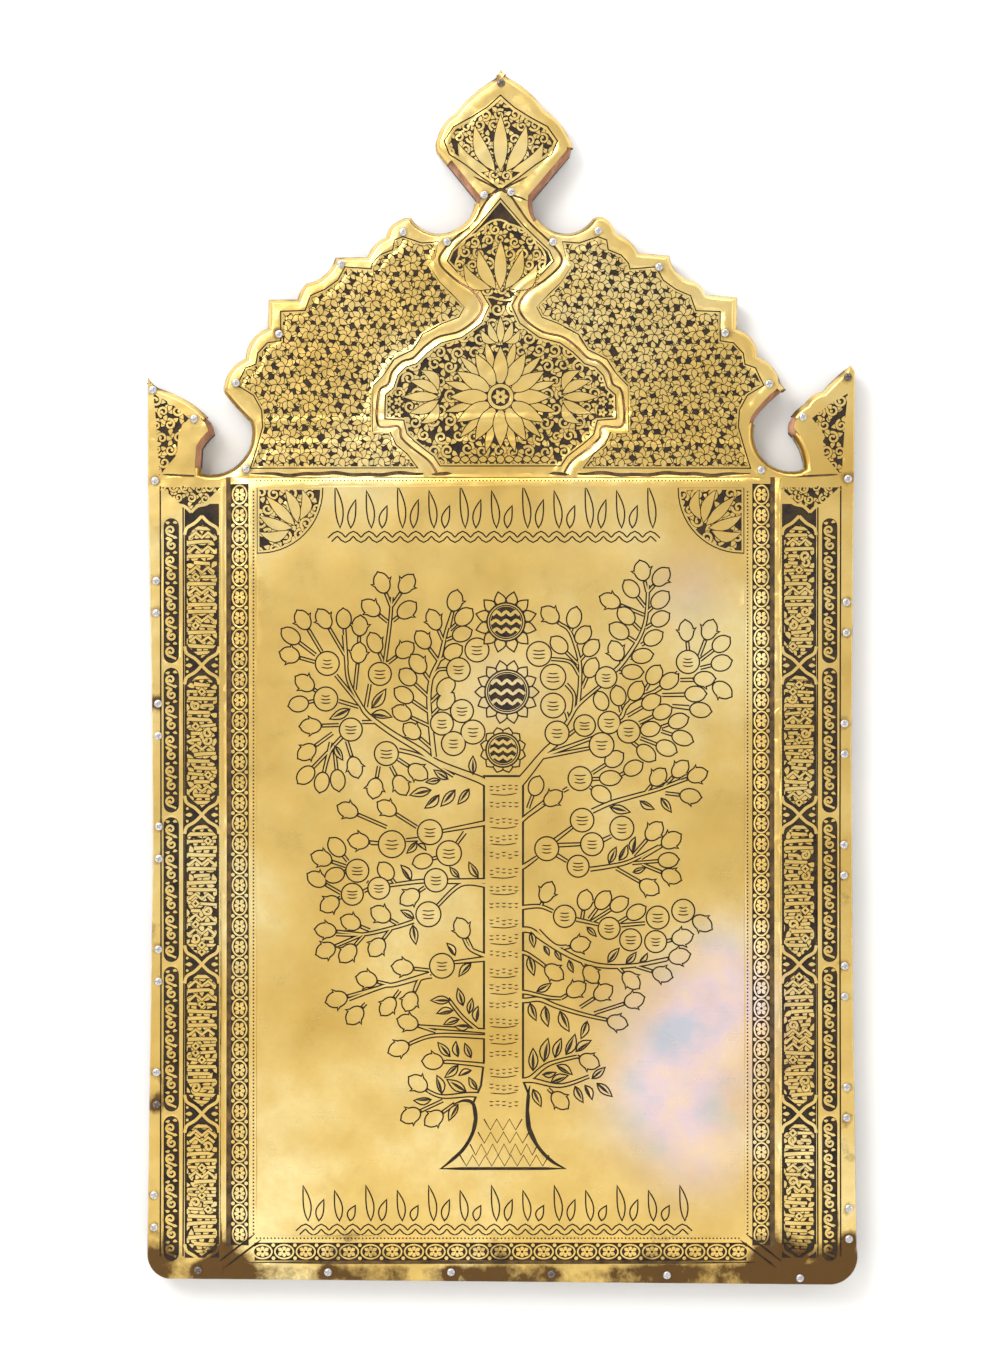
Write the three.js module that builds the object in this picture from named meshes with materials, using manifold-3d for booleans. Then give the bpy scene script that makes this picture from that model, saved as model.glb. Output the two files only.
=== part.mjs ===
// Engraved brass plaque with a scalloped crest, two ears and a finial.
// A sheet of brass is folded over a sawn wooden board and held by pan head screws.
// Millimetres, +Z up. The face looks along -Y and the flat back lies on the plane y = 0.
// The origin is the middle of the back, where the plaque is fixed to its wall.
import * as THREE from 'three';
import ManifoldModule from 'manifold-3d';

const wasm = await ManifoldModule();
wasm.setup();

// Thicknesses, from the wall outwards
const backingThickness = 6;
const backingInset = 1.2;
const backingHollow = 0.85;
const boardThickness = 16;
const sheetThickness = 1;
const gap = 0.3;
const flangeDepth = 14;
const backingFront = backingThickness;
const boardBack = backingFront + gap;
const boardFront = boardBack + boardThickness;
const sheetBack = boardFront + gap;
const rimFace = sheetBack + sheetThickness;

// Sloped edge of the face, wide round the crest and narrow round the body
const crestBevelWidth = 4.5;
const bodyBevelWidth = 1.6;
const bevelDrop = 6;
const crestFoot = 149;
const bodyHalfWidth = 256;

// Raised field with the sloped band of roundels round it
const fieldRise = 3;
const fieldFace = rimFace + fieldRise;
const slopeFoot = 198.7;
const slopeHead = 184;
const slopeFootSink = 0.3;
const slopeRun = slopeFoot - slopeHead;
const slopeClimb = fieldRise + slopeFootSink;
const fieldTop = { head: 143, foot: 149.5 };
const fieldBottom = { head: -416, foot: -434.8 };
const roundelRadius = 6;
const roundelSides = 6;
const roundelRise = 0.9;
const roundelRoot = 0.4;
const roundelPitch = 15.2;
const roundelTop = 134.5;
const roundelRows = 37;
const bottomRoundelPitch = 16;
const bottomRoundelsEachSide = 11;

// Bead between the roundels and the carved bands
const beadLine = 205.3;
const beadWidth = 4.4;
const beadRise = 0.8;
const beadStart = 3;
const beadOverrun = 2;

// Carved bands of the body, in five equal bays
const bayTop = 118.8;
const bayPitch = 110.6;
const bayCount = 5;
const strokeBand = { middle: 220.5, halfWidth: 12.6, point: 4, shoulder: 14 };
const vineBand = { middle: 243.4, halfWidth: 5.6, point: 1.5, shoulder: 7 };
const cornerReach = 9;
const bandStroke = {
  perBay: 4, margin: 16, thickness: 2.2, slant: 0.2, reaches: [0.62, 0.78, 0.78],
};
const topPanel = [[206.5, 140], [250.5, 140], [238, 128.5], [229, 123], [219, 128.5]];
const groundDepth = 0.45;
const strokeRise = 0.35;
const cutterReach = 1;

// Engraved lines
const lineDepth = 0.5;
const lineWidth = 1.2;
const heavyLineWidth = 3;
const heavyLineDepth = 0.6;

// How finely an arc is cut, as steps for the square root of its bow
const arcFineness = 1.6;

// Screw heads
const headRadius = 3;
const headEdge = 0.8;
const headHeight = 1.7;
const headSides = 6;
const screwPairs = 6;

// The long sides draw in a little half way down, and the margin screws follow them
const waist = { level: -130, depth: 3, reach: 150 };

// Outline landmarks from the finial tip down each side, as [distance from the middle line,
// height, bow of the arc that arrives there]. The board was sawn by hand, so its sides differ.
const leftLandmarks = [
  [0, 451, 0], [4.4, 443.3, -0.7], [33.7, 417.7, 1.9], [47, 399.2, 2.2], [47.4, 388.9, 1.1],
  [19.2, 353.7, 0], [32.2, 332.6, -3.7], [66.2, 340, -7.4], [75.8, 337.8, 1.1],
  [84.7, 326, 2.2], [98.8, 311.2, 2.2], [122.5, 310.8, 0], [143.9, 291.6, -4.4],
  [150.6, 279.7, 1.1], [172.1, 279.7, 0], [172.6, 258.3, 0], [189.1, 235.7, 4.4],
  [205, 216.4, 3.3], [204.6, 209.8, 0.7], [185.4, 188.3, 0.7], [222, 150.6, -14.8],
  [220.9, 169.1, 0], [211.6, 179.8, -0.7], [215, 190.2, 0.7], [230.5, 203.5, 0.7],
  [254.2, 214.2, 0.7], [261.8, 222, -0.7], [261.6, 145.4, 0], [258.6, -17.4, 0],
  [257.9, -128.4, 0], [260.9, -343, 0], [262, -428.1, 0], [246.8, -446.6, 4.5],
];
const rightLandmarks = [
  [0, 451, 0], [5.9, 444, -0.7], [32.2, 420.7, 2.2], [52.2, 396.3, 2.6], [52.9, 387.4, 1.1],
  [24.8, 354.1, 0], [35.1, 332.6, -3.7], [68.4, 339.6, -7.2], [77, 340.4, 1.1],
  [85.5, 328.9, 1.5], [102.5, 314.1, 2.2], [125.4, 312.3, 0], [143.2, 293.4, -4.4],
  [152.4, 283.4, 1.1], [175.8, 281.2, 0], [175.4, 257.9, 0], [190.9, 237.2, 4.4],
  [207.6, 217.9, 3.3], [212, 212.8, -0.4], [189.8, 190.6, -1.5], [221.6, 152.8, -14.8],
  [225, 154.7, 0], [213.5, 180.9, -3], [214.2, 190.2, 1.1], [226.1, 202.4, 1.5],
  [238.7, 211.3, 1.9], [260.1, 230.9, 1.1], [263.1, 226.1, 0], [262.3, 145.4, 0],
  [260.5, -54.4, 0], [261.6, -239.4, 0], [264.2, -424.4, 0], [242.3, -451, 8.9],
];

// Places where the sheet stops at the face and the wood of the sloped edge lies bare,
// as ranges of height on one side, with the least and the most distance from the middle
const bareWood = [
  { side: -1, low: 352, high: 380, near: 15, far: 45 },
  { side: 1, low: 340, high: 392, near: 20, far: 56 },
  { side: 1, low: 186, high: 211, near: 186, far: 213 },
  { side: -1, low: 153, high: 193, near: 205, far: 224 },
  { side: 1, low: 178, high: 194, near: 205, far: 219 },
];
const bareWoodLip = 0.5;
const bareWoodReach = 8;

// Half of the heavy line round the crest medallion, from its top down to the crest foot
const medallionHalf = [
  [0, 361], [21.1, 336.3], [40.3, 317.8], [45.1, 306.4], [33.7, 294.1], [19.6, 284.5],
  [13.7, 274.2], [18.1, 264.6], [30.7, 255.3], [46.2, 251.2], [56.6, 243.8], [64.8, 235.7],
  [72.9, 233.1], [80.3, 225.3], [83.2, 216.4], [89.9, 210.5], [90.5, 186.1], [75.5, 185],
  [73.6, 177.2], [66.2, 169.8], [52.9, 159.5], [47.4, 151],
];
const medallionGroundInset = 6;
const medallionGroundFoot = 156;
const seam = { level: crestFoot + 1, near: 50, far: 186 };

// One leaf panel of the crest, which the other side mirrors
const leafPanel = [
  [72.2, 324.1], [77.3, 321.9], [78.4, 314.9], [88.4, 310.8], [93.6, 304.9], [94.7, 300.1],
  [114.3, 301.6], [119.5, 292.3], [129.1, 285.3], [139.5, 280.8], [143.6, 269.4],
  [161.2, 268.8], [161.2, 247.2], [171.7, 245.7], [178.3, 238.7], [179.7, 230.1],
  [187.6, 227.2], [193.1, 216.1], [181.7, 209.1], [175.4, 197.6], [174.6, 184.6],
  [178.9, 169.1], [183.2, 155.5], [63.6, 155.5], [69.9, 163.6], [78.4, 170.6],
  [82.7, 179.9], [96.1, 179.9], [95.5, 215.9], [87, 224.4], [79.8, 235.7], [65.7, 242.9],
  [58.6, 254.2], [44.5, 262], [31.7, 266.9], [28.2, 273.3], [37.4, 282.5], [45.9, 291],
  [53.6, 303.8], [49.4, 310.8], [47.3, 320.1], [58.6, 319.3],
];
const earPanel = [
  [257, 209.5], [243, 201.5], [230.5, 191], [238, 182], [239.5, 164], [252.5, 148.5],
  [255, 190],
];
const finialPanel = [
  [0, 425], [26, 407], [40, 394], [28, 377], [0, 366], [-30, 378], [-38, 393], [-26, 409],
];

// Flower of the medallion: even petals round a sunk eye
const crestFlower = {
  centre: [0, 207], petals: 12, neck: 9.5, reach: 37, width: 10.5, eye: 7, eyeSides: 8,
};

// Boughs of the tree, as [start x, start z, end x, end z, bow]
const boughs = [
  [-15, -85, -94, -27, 3], [-97, -25, -122, 3, 0], [-95, -23, -91, -7, 0], [-86, 11, -81, 65, 0],
  [-105, -15, -117, 34, 0], [-45, -60, -50, 3, 3], [-50, 3, -38, 40, 0], [-15, -115, -43, -115, 0],
  [-15, -159, -71, -128, 3], [-15, -165, -80, -157, 0], [-15, -191, -45, -178, 0],
  [-15, -239, -95, -228, 3], [-15, -269, -76, -278, 3],
  [19, -80, 51, -46, 0], [50, -47, 58, -7, 0], [58, -7, 51, 34, -3], [54, -42, 74, -7, 0],
  [83, 6, 108, 68, -3], [66, -43, 131, 5, 0], [19, -112, 103, -80, 3], [19, -130, 83, -114, 0],
  [19, -151, 74, -185, -3], [19, -206, 74, -239, -3], [19, -239, 85, -254, -3],
  [19, -269, 66, -282, 0],
];

// Round fruit that hangs on the boughs, as [x, z]
const fruitRadius = 8.5;
const fruitSides = 6;
const fruit = [
  [-128, 10], [-129, -16], [-89, 2], [-111, -39], [-85, -57], [-52, -115], [-89, -157],
  [42, -42], [40, -1], [29, 17], [78, -1], [138, 10], [80, -186], [117, -179],
];
const rosettes = [[4, 40, 14], [5, -11, 16], [2, -54, 12.5]];
const rosetteSides = 8;
const trunk = {
  left: -14, right: 18, top: -80, bottom: -321, flare: 7, footHalf: 43, footLevel: -364,
};
const trunkStrokes = { count: 9, top: -95, pitch: 26, halfLength: 10 };
const strokeRows = [
  { left: -124, right: 114, level: 119, reach: 17, count: 12 },
  { left: -148, right: 138, level: -394, reach: 15, count: 13 },
];
const strokeLean = 0.35;
const cornerPiece = { radius: 44, steps: 6, fromSlope: 5, fromTop: 3 };

// Colours of the materials
const brassFinish = { color: 0xc9a24a, roughness: 0.3, metalness: 1 };
const woodFinish = { color: 0xa8694a, roughness: 0.75, metalness: 0 };
const blackFinish = { color: 0x14161f, roughness: 0.7, metalness: 0 };
const steelFinish = { color: 0xb9b7b8, roughness: 0.35, metalness: 1 };

// Plan geometry: loops run anticlockwise as seen from the front, in x and z
function arcPoints(from, to, bow) {
  const dx = to[0] - from[0];
  const dz = to[1] - from[1];
  const chord = Math.hypot(dx, dz);
  const steps = Math.max(1, Math.round(Math.sqrt(Math.abs(bow) * arcFineness)));
  const points = [];
  if (steps > 1) {
    const radius = (chord * chord / 4 + bow * bow) / (2 * bow);
    const halfAngle = 2 * Math.atan(2 * bow / chord);
    for (let i = 1; i < steps; i += 1) {
      const angle = halfAngle * (2 * i / steps - 1);
      const along = 0.5 + radius * Math.sin(angle) / chord;
      const out = radius * Math.cos(angle) - (radius - bow);
      points.push([from[0] + dx * along + dz / chord * out,
        from[1] + dz * along - dx / chord * out]);
    }
  }
  points.push([to[0], to[1]]);
  return points;
}

// Each side is worked out on the left, where a positive bow swells outwards
function sidePoints(landmarks, bowScale) {
  const points = [[-landmarks[0][0], landmarks[0][1]]];
  for (let i = 1; i < landmarks.length; i += 1) {
    const from = [-landmarks[i - 1][0], landmarks[i - 1][1]];
    const to = [-landmarks[i][0], landmarks[i][1]];
    points.push(...arcPoints(from, to, landmarks[i][2] * bowScale(landmarks[i][2])));
  }
  return points;
}

function plaqueOutline(bowScale) {
  const left = sidePoints(leftLandmarks, bowScale);
  const right = sidePoints(rightLandmarks, bowScale).map(([x, z]) => [-x, z]);
  return [...left, ...right.reverse().slice(0, -1)];
}

// Moves every point of a loop inwards along its bisector, by a width that may vary
function inset(loop, widthAt) {
  const count = loop.length;
  const tightest = 0.55;
  return loop.map((point, i) => {
    const before = loop[(i + count - 1) % count];
    const after = loop[(i + 1) % count];
    const a = new THREE.Vector2(point[0] - before[0], point[1] - before[1]).normalize();
    const b = new THREE.Vector2(after[0] - point[0], after[1] - point[1]).normalize();
    const inward = new THREE.Vector2(-a.y - b.y, a.x + b.x).normalize();
    const lean = Math.max(tightest, inward.x * -a.y + inward.y * a.x);
    const reach = widthAt(point) / lean;
    return [point[0] + inward.x * reach, point[1] + inward.y * reach];
  });
}

function bevelWidth([x, z]) {
  const besideEar = Math.abs(x) > bodyHalfWidth;
  return z > crestFoot && !besideEar ? crestBevelWidth : bodyBevelWidth;
}

function mirrored(loop) {
  return loop.map(([x, z]) => [-x, z]).reverse();
}

// A panel is written for the right side, and the left one is its mirror image
function onSide(loop, side) {
  return side > 0 ? loop : mirrored(loop);
}

function anticlockwise(loop) {
  const area = THREE.ShapeUtils.area(loop.map(([x, z]) => new THREE.Vector2(x, z)));
  return area > 0 ? loop : [...loop].reverse();
}

// Solids: heights count outwards from the wall, so world y is minus the height
function solidFrom(positions, triangles) {
  const mesh = new wasm.Mesh({
    numProp: 3,
    vertProperties: new Float32Array(positions),
    triVerts: new Uint32Array(triangles),
  });
  return new wasm.Manifold(mesh);
}

function pushPoint(positions, [x, z], height) {
  positions.push(x, -height, z);
}

// A closed body through loops of equal length, from the back to the front
function loft(levels) {
  const positions = [];
  const triangles = [];
  const count = levels[0].loop.length;
  for (const { loop, height } of levels) {
    loop.forEach((point) => pushPoint(positions, point, height));
  }
  const capOf = (loop) => THREE.ShapeUtils.triangulateShape(
    loop.map(([x, z]) => new THREE.Vector2(x, z)), []);
  const last = (levels.length - 1) * count;
  for (const [a, b, c] of capOf(levels[0].loop)) triangles.push(a, c, b);
  for (const [a, b, c] of capOf(levels[levels.length - 1].loop)) {
    triangles.push(last + a, last + b, last + c);
  }
  for (let level = 0; level < levels.length - 1; level += 1) {
    for (let i = 0; i < count; i += 1) {
      const j = (i + 1) % count;
      const a = level * count + i;
      const b = level * count + j;
      triangles.push(a, b, b + count, a, b + count, a + count);
    }
  }
  return solidFrom(positions, triangles);
}

function prism(loop, low, high) {
  const ring = anticlockwise(loop);
  return loft([{ loop: ring, height: low }, { loop: ring, height: high }]);
}

// A cutter of triangular section that leaves a V groove along a path
function grooveCutter(path, width, depth, surface, closed = false) {
  const positions = [];
  const triangles = [];
  const clearance = 0.3;
  const count = path.length;
  const half = width / 2 * (1 + clearance / depth);
  const stepFrom = (i, j) => new THREE.Vector2(path[j][0] - path[i][0], path[j][1] - path[i][1]);
  path.forEach((point, i) => {
    const before = i > 0 || closed ? stepFrom((i + count - 1) % count, i) : stepFrom(0, 1);
    const after = i < count - 1 || closed ? stepFrom(i, (i + 1) % count) : before.clone();
    const along = before.normalize().add(after.normalize()).normalize();
    const left = [-along.y * half, along.x * half];
    pushPoint(positions, [point[0] + left[0], point[1] + left[1]], surface + clearance);
    pushPoint(positions, point, surface - depth);
    pushPoint(positions, [point[0] - left[0], point[1] - left[1]], surface + clearance);
  });
  const links = closed ? count : count - 1;
  for (let i = 0; i < links; i += 1) {
    const from = i * 3;
    const to = (i + 1) % count * 3;
    for (let k = 0; k < 3; k += 1) {
      const next = (k + 1) % 3;
      triangles.push(from + next, from + k, to + k, from + next, to + k, to + next);
    }
  }
  if (!closed) {
    const end = (count - 1) * 3;
    triangles.push(0, 1, 2, end + 2, end + 1, end);
  }
  return solidFrom(positions, triangles);
}

function polygon(centre, radius, sides, turn = 0) {
  return Array.from({ length: sides }, (_, i) => {
    const angle = turn + 2 * Math.PI * i / sides;
    return [centre[0] + radius * Math.cos(angle), centre[1] + radius * Math.sin(angle)];
  });
}

// Field block: its sloped sides carry the roundels, and it is hollow behind the sheet
function fieldBlock(skin) {
  const foot = rectangle(slopeFoot - skin, fieldBottom.foot + skin, fieldTop.foot - skin);
  const head = rectangle(slopeHead - skin, fieldBottom.head + skin, fieldTop.head - skin);
  return loft([
    { loop: foot, height: rimFace - slopeFootSink - skin - sheetThickness / 2 },
    { loop: foot, height: rimFace - slopeFootSink - skin },
    { loop: head, height: fieldFace - skin },
  ]);
}

function rectangle(halfWidth, low, high) {
  return [[-halfWidth, low], [halfWidth, low], [halfWidth, high], [-halfWidth, high]];
}

// The face with its sloped edge, drawn in by a skin, from a back level to the front
function faceBody(outline, skin, back) {
  const side = inset(outline, () => skin);
  const face = inset(outline, (point) => skin + bevelWidth(point));
  return loft([
    { loop: side, height: back },
    { loop: side, height: rimFace - bevelDrop - skin / 2 },
    { loop: face, height: rimFace - skin },
  ]);
}

function woodenBoard(outline) {
  const skin = sheetThickness + gap;
  return faceBody(outline, skin, boardBack).add(fieldBlock(skin));
}

// The back was sawn more roughly, so its hollow curves are shallower than the board's
function backingPanel() {
  const rough = plaqueOutline((bow) => (bow > 0 ? 0 : backingHollow));
  return prism(inset(rough, () => backingInset), 0, backingFront);
}

// Cuts the folded edge away where the wood lies bare
function bareWoodCutters(outline) {
  const inner = inset(outline, (point) => bevelWidth(point) - bareWoodLip);
  const outer = inset(outline, () => -bareWoodReach);
  const cutters = [];
  for (const { side, low, high, near, far } of bareWood) {
    for (let i = 0; i < outline.length; i += 1) {
      const j = (i + 1) % outline.length;
      const middle = [(outline[i][0] + outline[j][0]) / 2, (outline[i][1] + outline[j][1]) / 2];
      const out = middle[0] * side;
      const inside = middle[1] > low && middle[1] < high && out > near && out < far;
      if (inside) {
        const patch = [inner[i], outer[i], outer[j], inner[j]];
        cutters.push(prism(patch, 0, rimFace + cutterReach));
      }
    }
  }
  return cutters;
}

function medallionLine() {
  const left = medallionHalf.map(([x, z]) => [-x, z]).reverse();
  return [...left, ...medallionHalf.slice(1)];
}

function crestCutters() {
  const cutters = [grooveCutter(medallionLine(), heavyLineWidth, heavyLineDepth, rimFace)];
  const ground = rimFace - groundDepth;
  const above = rimFace + cutterReach;
  for (const side of [-1, 1]) {
    cutters.push(prism(onSide(leafPanel, side), ground, above));
    cutters.push(prism(onSide(earPanel, side), ground, above));
    const run = [[side * seam.near, seam.level], [side * seam.far, seam.level]];
    cutters.push(grooveCutter(run, heavyLineWidth, heavyLineDepth, rimFace));
  }
  const loop = anticlockwise(medallionLine());
  const inner = inset(loop, () => medallionGroundInset)
    .map(([x, z]) => [x, Math.max(z, medallionGroundFoot)]);
  cutters.push(prism(inner, ground, above));
  cutters.push(prism(finialPanel, ground, above));
  return cutters;
}

// One outline runs round all the petals, which stand in the sunk ground of the medallion
function flowerSolid() {
  const { centre, petals, neck, reach, width, eye, eyeSides } = crestFlower;
  const halfStep = Math.PI / petals;
  const middle = (neck + reach) / 2;
  const rim = [];
  for (let i = 0; i < petals; i += 1) {
    const turn = 2 * halfStep * i;
    const at = (run, offset) => [
      centre[0] + Math.cos(turn) * run - Math.sin(turn) * offset,
      centre[1] + Math.sin(turn) * run + Math.cos(turn) * offset,
    ];
    rim.push(at(neck * Math.cos(halfStep), -neck * Math.sin(halfStep)), at(middle, -width / 2),
      at(reach, 0), at(middle, width / 2));
  }
  const low = rimFace - sheetThickness / 2;
  const eyeCutter = prism(polygon(centre, eye, eyeSides), low - cutterReach, rimFace + cutterReach);
  return prism(rim, low, rimFace).subtract(eyeCutter);
}

// Shallow strokes fill a panel in rows, and stand for writing without spelling any
function strokeSolids(middle, halfWidth, low, high) {
  const { perBay, thickness, slant } = bandStroke;
  const solids = [];
  const step = (high - low) / perBay;
  const reaches = bandStroke.reaches.map((share) => share * halfWidth);
  for (let i = 0; i < perBay; i += 1) {
    const level = low + step * (i + 0.5);
    const tilt = (i % 2 ? 1 : -1) * step * slant;
    const reach = reaches[i % reaches.length];
    const bar = [[middle - reach, level - tilt], [middle + reach, level + tilt],
      [middle + reach, level + tilt + thickness], [middle - reach, level - tilt + thickness]];
    solids.push(prism(bar, rimFace - sheetThickness / 2, rimFace - groundDepth + strokeRise));
  }
  return solids;
}

// One bay of an upright band, drawn to a point at its top and bottom
function bayLoop(side, { middle, halfWidth, point, shoulder }, top) {
  const x = side * middle;
  const bottom = top - bayPitch;
  return [[x, top - point], [x - halfWidth, top - shoulder], [x - halfWidth, bottom + shoulder],
    [x, bottom + point], [x + halfWidth, bottom + shoulder], [x + halfWidth, top - shoulder]];
}

// Bays of the two upright bands, with corner pieces between the wider ones
function bandCutters() {
  const cutters = [];
  const ground = rimFace - groundDepth;
  const above = rimFace + cutterReach;
  for (const side of [-1, 1]) {
    const x = side * strokeBand.middle;
    for (let bay = 0; bay < bayCount; bay += 1) {
      const top = bayTop - bayPitch * bay;
      cutters.push(prism(bayLoop(side, strokeBand, top), ground, above));
      cutters.push(prism(bayLoop(side, vineBand, top), ground, above));
      for (const hand of [-1, 1]) {
        const edge = x + hand * strokeBand.halfWidth;
        cutters.push(prism([[edge, top + cornerReach], [edge, top - cornerReach],
          [x + hand * strokeBand.point, top]], ground, above));
      }
    }
    cutters.push(prism(onSide(topPanel, side), ground, above));
  }
  return cutters;
}

function bandStrokes() {
  const solids = [];
  const { middle, halfWidth } = strokeBand;
  for (const side of [-1, 1]) {
    for (let bay = 0; bay < bayCount; bay += 1) {
      const high = bayTop - bayPitch * bay - bandStroke.margin;
      const low = bayTop - bayPitch * (bay + 1) + bandStroke.margin;
      solids.push(...strokeSolids(side * middle, halfWidth, low, high));
    }
  }
  return solids;
}

// A low boss on the slope, whose surface climbs towards the field
function roundelBoss(centre, surfaceAt) {
  const rim = polygon(centre, roundelRadius, roundelSides, Math.PI / roundelSides);
  const positions = [];
  rim.forEach((point) => pushPoint(positions, point, surfaceAt(point) - roundelRoot));
  pushPoint(positions, centre, surfaceAt(centre) + roundelRise);
  const triangles = [];
  for (let i = 0; i < roundelSides; i += 1) {
    triangles.push(i, (i + 1) % roundelSides, roundelSides);
  }
  for (let i = 1; i < roundelSides - 1; i += 1) triangles.push(0, i + 1, i);
  return solidFrom(positions, triangles);
}

function roundelSolids() {
  const solids = [];
  const foot = rimFace - slopeFootSink;
  const grade = slopeClimb / slopeRun;
  const middle = (slopeFoot + slopeHead) / 2;
  for (const side of [-1, 1]) {
    const surface = ([x]) => foot + grade * (slopeFoot - x * side);
    for (let i = 0; i < roundelRows; i += 1) {
      solids.push(roundelBoss([side * middle, roundelTop - roundelPitch * i], surface));
    }
  }
  const bottomGrade = slopeClimb / (fieldBottom.head - fieldBottom.foot);
  const bottomSurface = ([, z]) => foot + bottomGrade * (z - fieldBottom.foot);
  const level = (fieldBottom.head + fieldBottom.foot) / 2;
  for (let i = -bottomRoundelsEachSide; i <= bottomRoundelsEachSide; i += 1) {
    solids.push(roundelBoss([i * bottomRoundelPitch, level], bottomSurface));
  }
  return solids;
}

// The two upright beads, which run a little past the foot of the field
function beadSolids() {
  const buried = sheetThickness / 2;
  const upright = (side) => loft([
    { loop: strip(side * beadLine, beadWidth), height: rimFace - buried },
    { loop: strip(side * beadLine, beadWidth), height: rimFace },
    { loop: strip(side * beadLine, beadWidth / 2), height: rimFace + beadRise },
  ]);
  return [upright(-1), upright(1)];
}

function strip(x, width) {
  const low = fieldBottom.foot - beadOverrun;
  const high = fieldTop.foot - beadStart;
  return [[x - width / 2, low], [x + width / 2, low], [x + width / 2, high],
    [x - width / 2, high]];
}

// The tree, its fruit and the rows of strokes are engraved in the field
function treeCutters() {
  const cutters = [];
  const line = (path, closed) => grooveCutter(path, lineWidth, lineDepth, fieldFace, closed);
  for (const [x0, z0, x1, z1, bow] of boughs) {
    cutters.push(line([[x0, z0], ...arcPoints([x0, z0], [x1, z1], bow)]));
  }
  for (const centre of fruit) cutters.push(line(polygon(centre, fruitRadius, fruitSides), true));
  for (const [x, z, radius] of rosettes) {
    cutters.push(line(polygon([x, z], radius, rosetteSides), true));
  }
  for (const side of [-1, 1]) {
    const x = side < 0 ? trunk.left : trunk.right;
    const foot = side * trunk.footHalf;
    const run = [[x, trunk.top], [x, trunk.bottom]];
    const flare = arcPoints(run[1], [foot, trunk.footLevel], side * trunk.flare);
    cutters.push(line([...run, ...flare]));
  }
  const footHalf = trunk.footHalf - 2;
  cutters.push(line([[-footHalf, trunk.footLevel], [footHalf, trunk.footLevel]]));
  for (let i = 0; i < trunkStrokes.count; i += 1) {
    const level = trunkStrokes.top - trunkStrokes.pitch * i;
    const middle = (trunk.left + trunk.right) / 2;
    cutters.push(line([[middle - trunkStrokes.halfLength, level],
      [middle + trunkStrokes.halfLength, level + 1]]));
  }
  return cutters;
}

function strokeRowCutters() {
  const cutters = [];
  for (const { left, right, level, reach, count } of strokeRows) {
    const pitch = (right - left) / count;
    for (let i = 0; i < count; i += 1) {
      const x = left + pitch * (i + 0.5);
      const lean = (i % 3 - 1) * pitch * strokeLean;
      cutters.push(grooveCutter([[x - lean, level - reach], [x + lean, level + reach]],
        lineWidth * 2, lineDepth, fieldFace));
    }
  }
  return cutters;
}

// Quarter round pieces in the two upper corners of the field
function cornerCutters() {
  const { radius, steps, fromSlope, fromTop } = cornerPiece;
  const cutters = [];
  for (const side of [-1, 1]) {
    const corner = [side * (slopeHead - fromSlope), fieldTop.head - fromTop];
    const loop = [corner];
    for (let i = 0; i <= steps; i += 1) {
      const angle = Math.PI / 2 * i / steps;
      loop.push([corner[0] - side * radius * Math.cos(angle),
        corner[1] - radius * Math.sin(angle)]);
    }
    cutters.push(prism(loop, fieldFace - groundDepth, fieldFace + cutterReach));
  }
  return cutters;
}

function brassSheet(outline) {
  const outer = faceBody(outline, 0, rimFace - flangeDepth).add(fieldBlock(0));
  const inner = faceBody(outline, sheetThickness, 0).add(fieldBlock(sheetThickness));
  const shell = outer.subtract(inner);
  const sunk = wasm.Manifold.union([...bareWoodCutters(outline), ...crestCutters(),
    ...bandCutters(), ...treeCutters(), ...strokeRowCutters(), ...cornerCutters()]);
  const raised = wasm.Manifold.union([flowerSolid(), ...bandStrokes(), ...roundelSolids(),
    ...beadSolids()]);
  return shell.subtract(sunk).add(raised);
}

// Screws: pairs down the two margins, single ones round the crest, ears and foot
function screwPlaces() {
  const places = [];
  const put = (group, list) => list.forEach(([x, z], i) => {
    places.push({ name: `screw_${group}_${i + 1}`, x, z });
  });
  put('finial', [[0.4, 439.2], [-12.2, 356.3], [7.8, 358.5]]);
  put('crest_left', [[-39.6, 321.5], [-72.2, 328.9], [-118, 305.2], [-163.9, 253.4],
    [-195.7, 217.2], [-188.3, 153.6]]);
  put('crest_right', [[38.9, 321.5], [72.2, 329.7], [117.3, 303], [166.1, 254.2],
    [198.7, 216.4], [192.8, 152.8]]);
  put('ear_left', [[-257.3, 212], [-226.8, 190.6]]);
  put('ear_right', [[257.1, 221.6], [223.8, 192]]);
  const margin = ({ side, x, first, firstPair, pitch, spread }) => {
    const list = [[side * x, first]];
    for (let pair = 0; pair < screwPairs; pair += 1) {
      const level = firstPair - pitch * pair;
      const drift = waist.depth * Math.cos((level - waist.level) / waist.reach);
      list.push([side * (x - drift), level + spread], [side * (x - drift), level - spread]);
    }
    return list;
  };
  put('margin_left', margin(
    { side: -1, x: 255.6, first: 144.7, firstPair: 58.9, pitch: 90.9, spread: 11.9 }));
  put('margin_right', margin(
    { side: 1, x: 257, first: 146.2, firstPair: 43.6, pitch: 89.7, spread: 11.3 }));
  put('foot', [[-223.8, -439.2], [-127.6, -440.7], [-36.6, -440.7], [37.7, -442.1],
    [123.2, -442.9], [221.6, -445.1]]);
  return places;
}

function screwGeometry() {
  const profile = [[0, 0], [headRadius, 0], [headRadius, headEdge], [0, headHeight]]
    .map(([radius, height]) => new THREE.Vector2(radius, height));
  return new THREE.LatheGeometry(profile, headSides);
}

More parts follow.
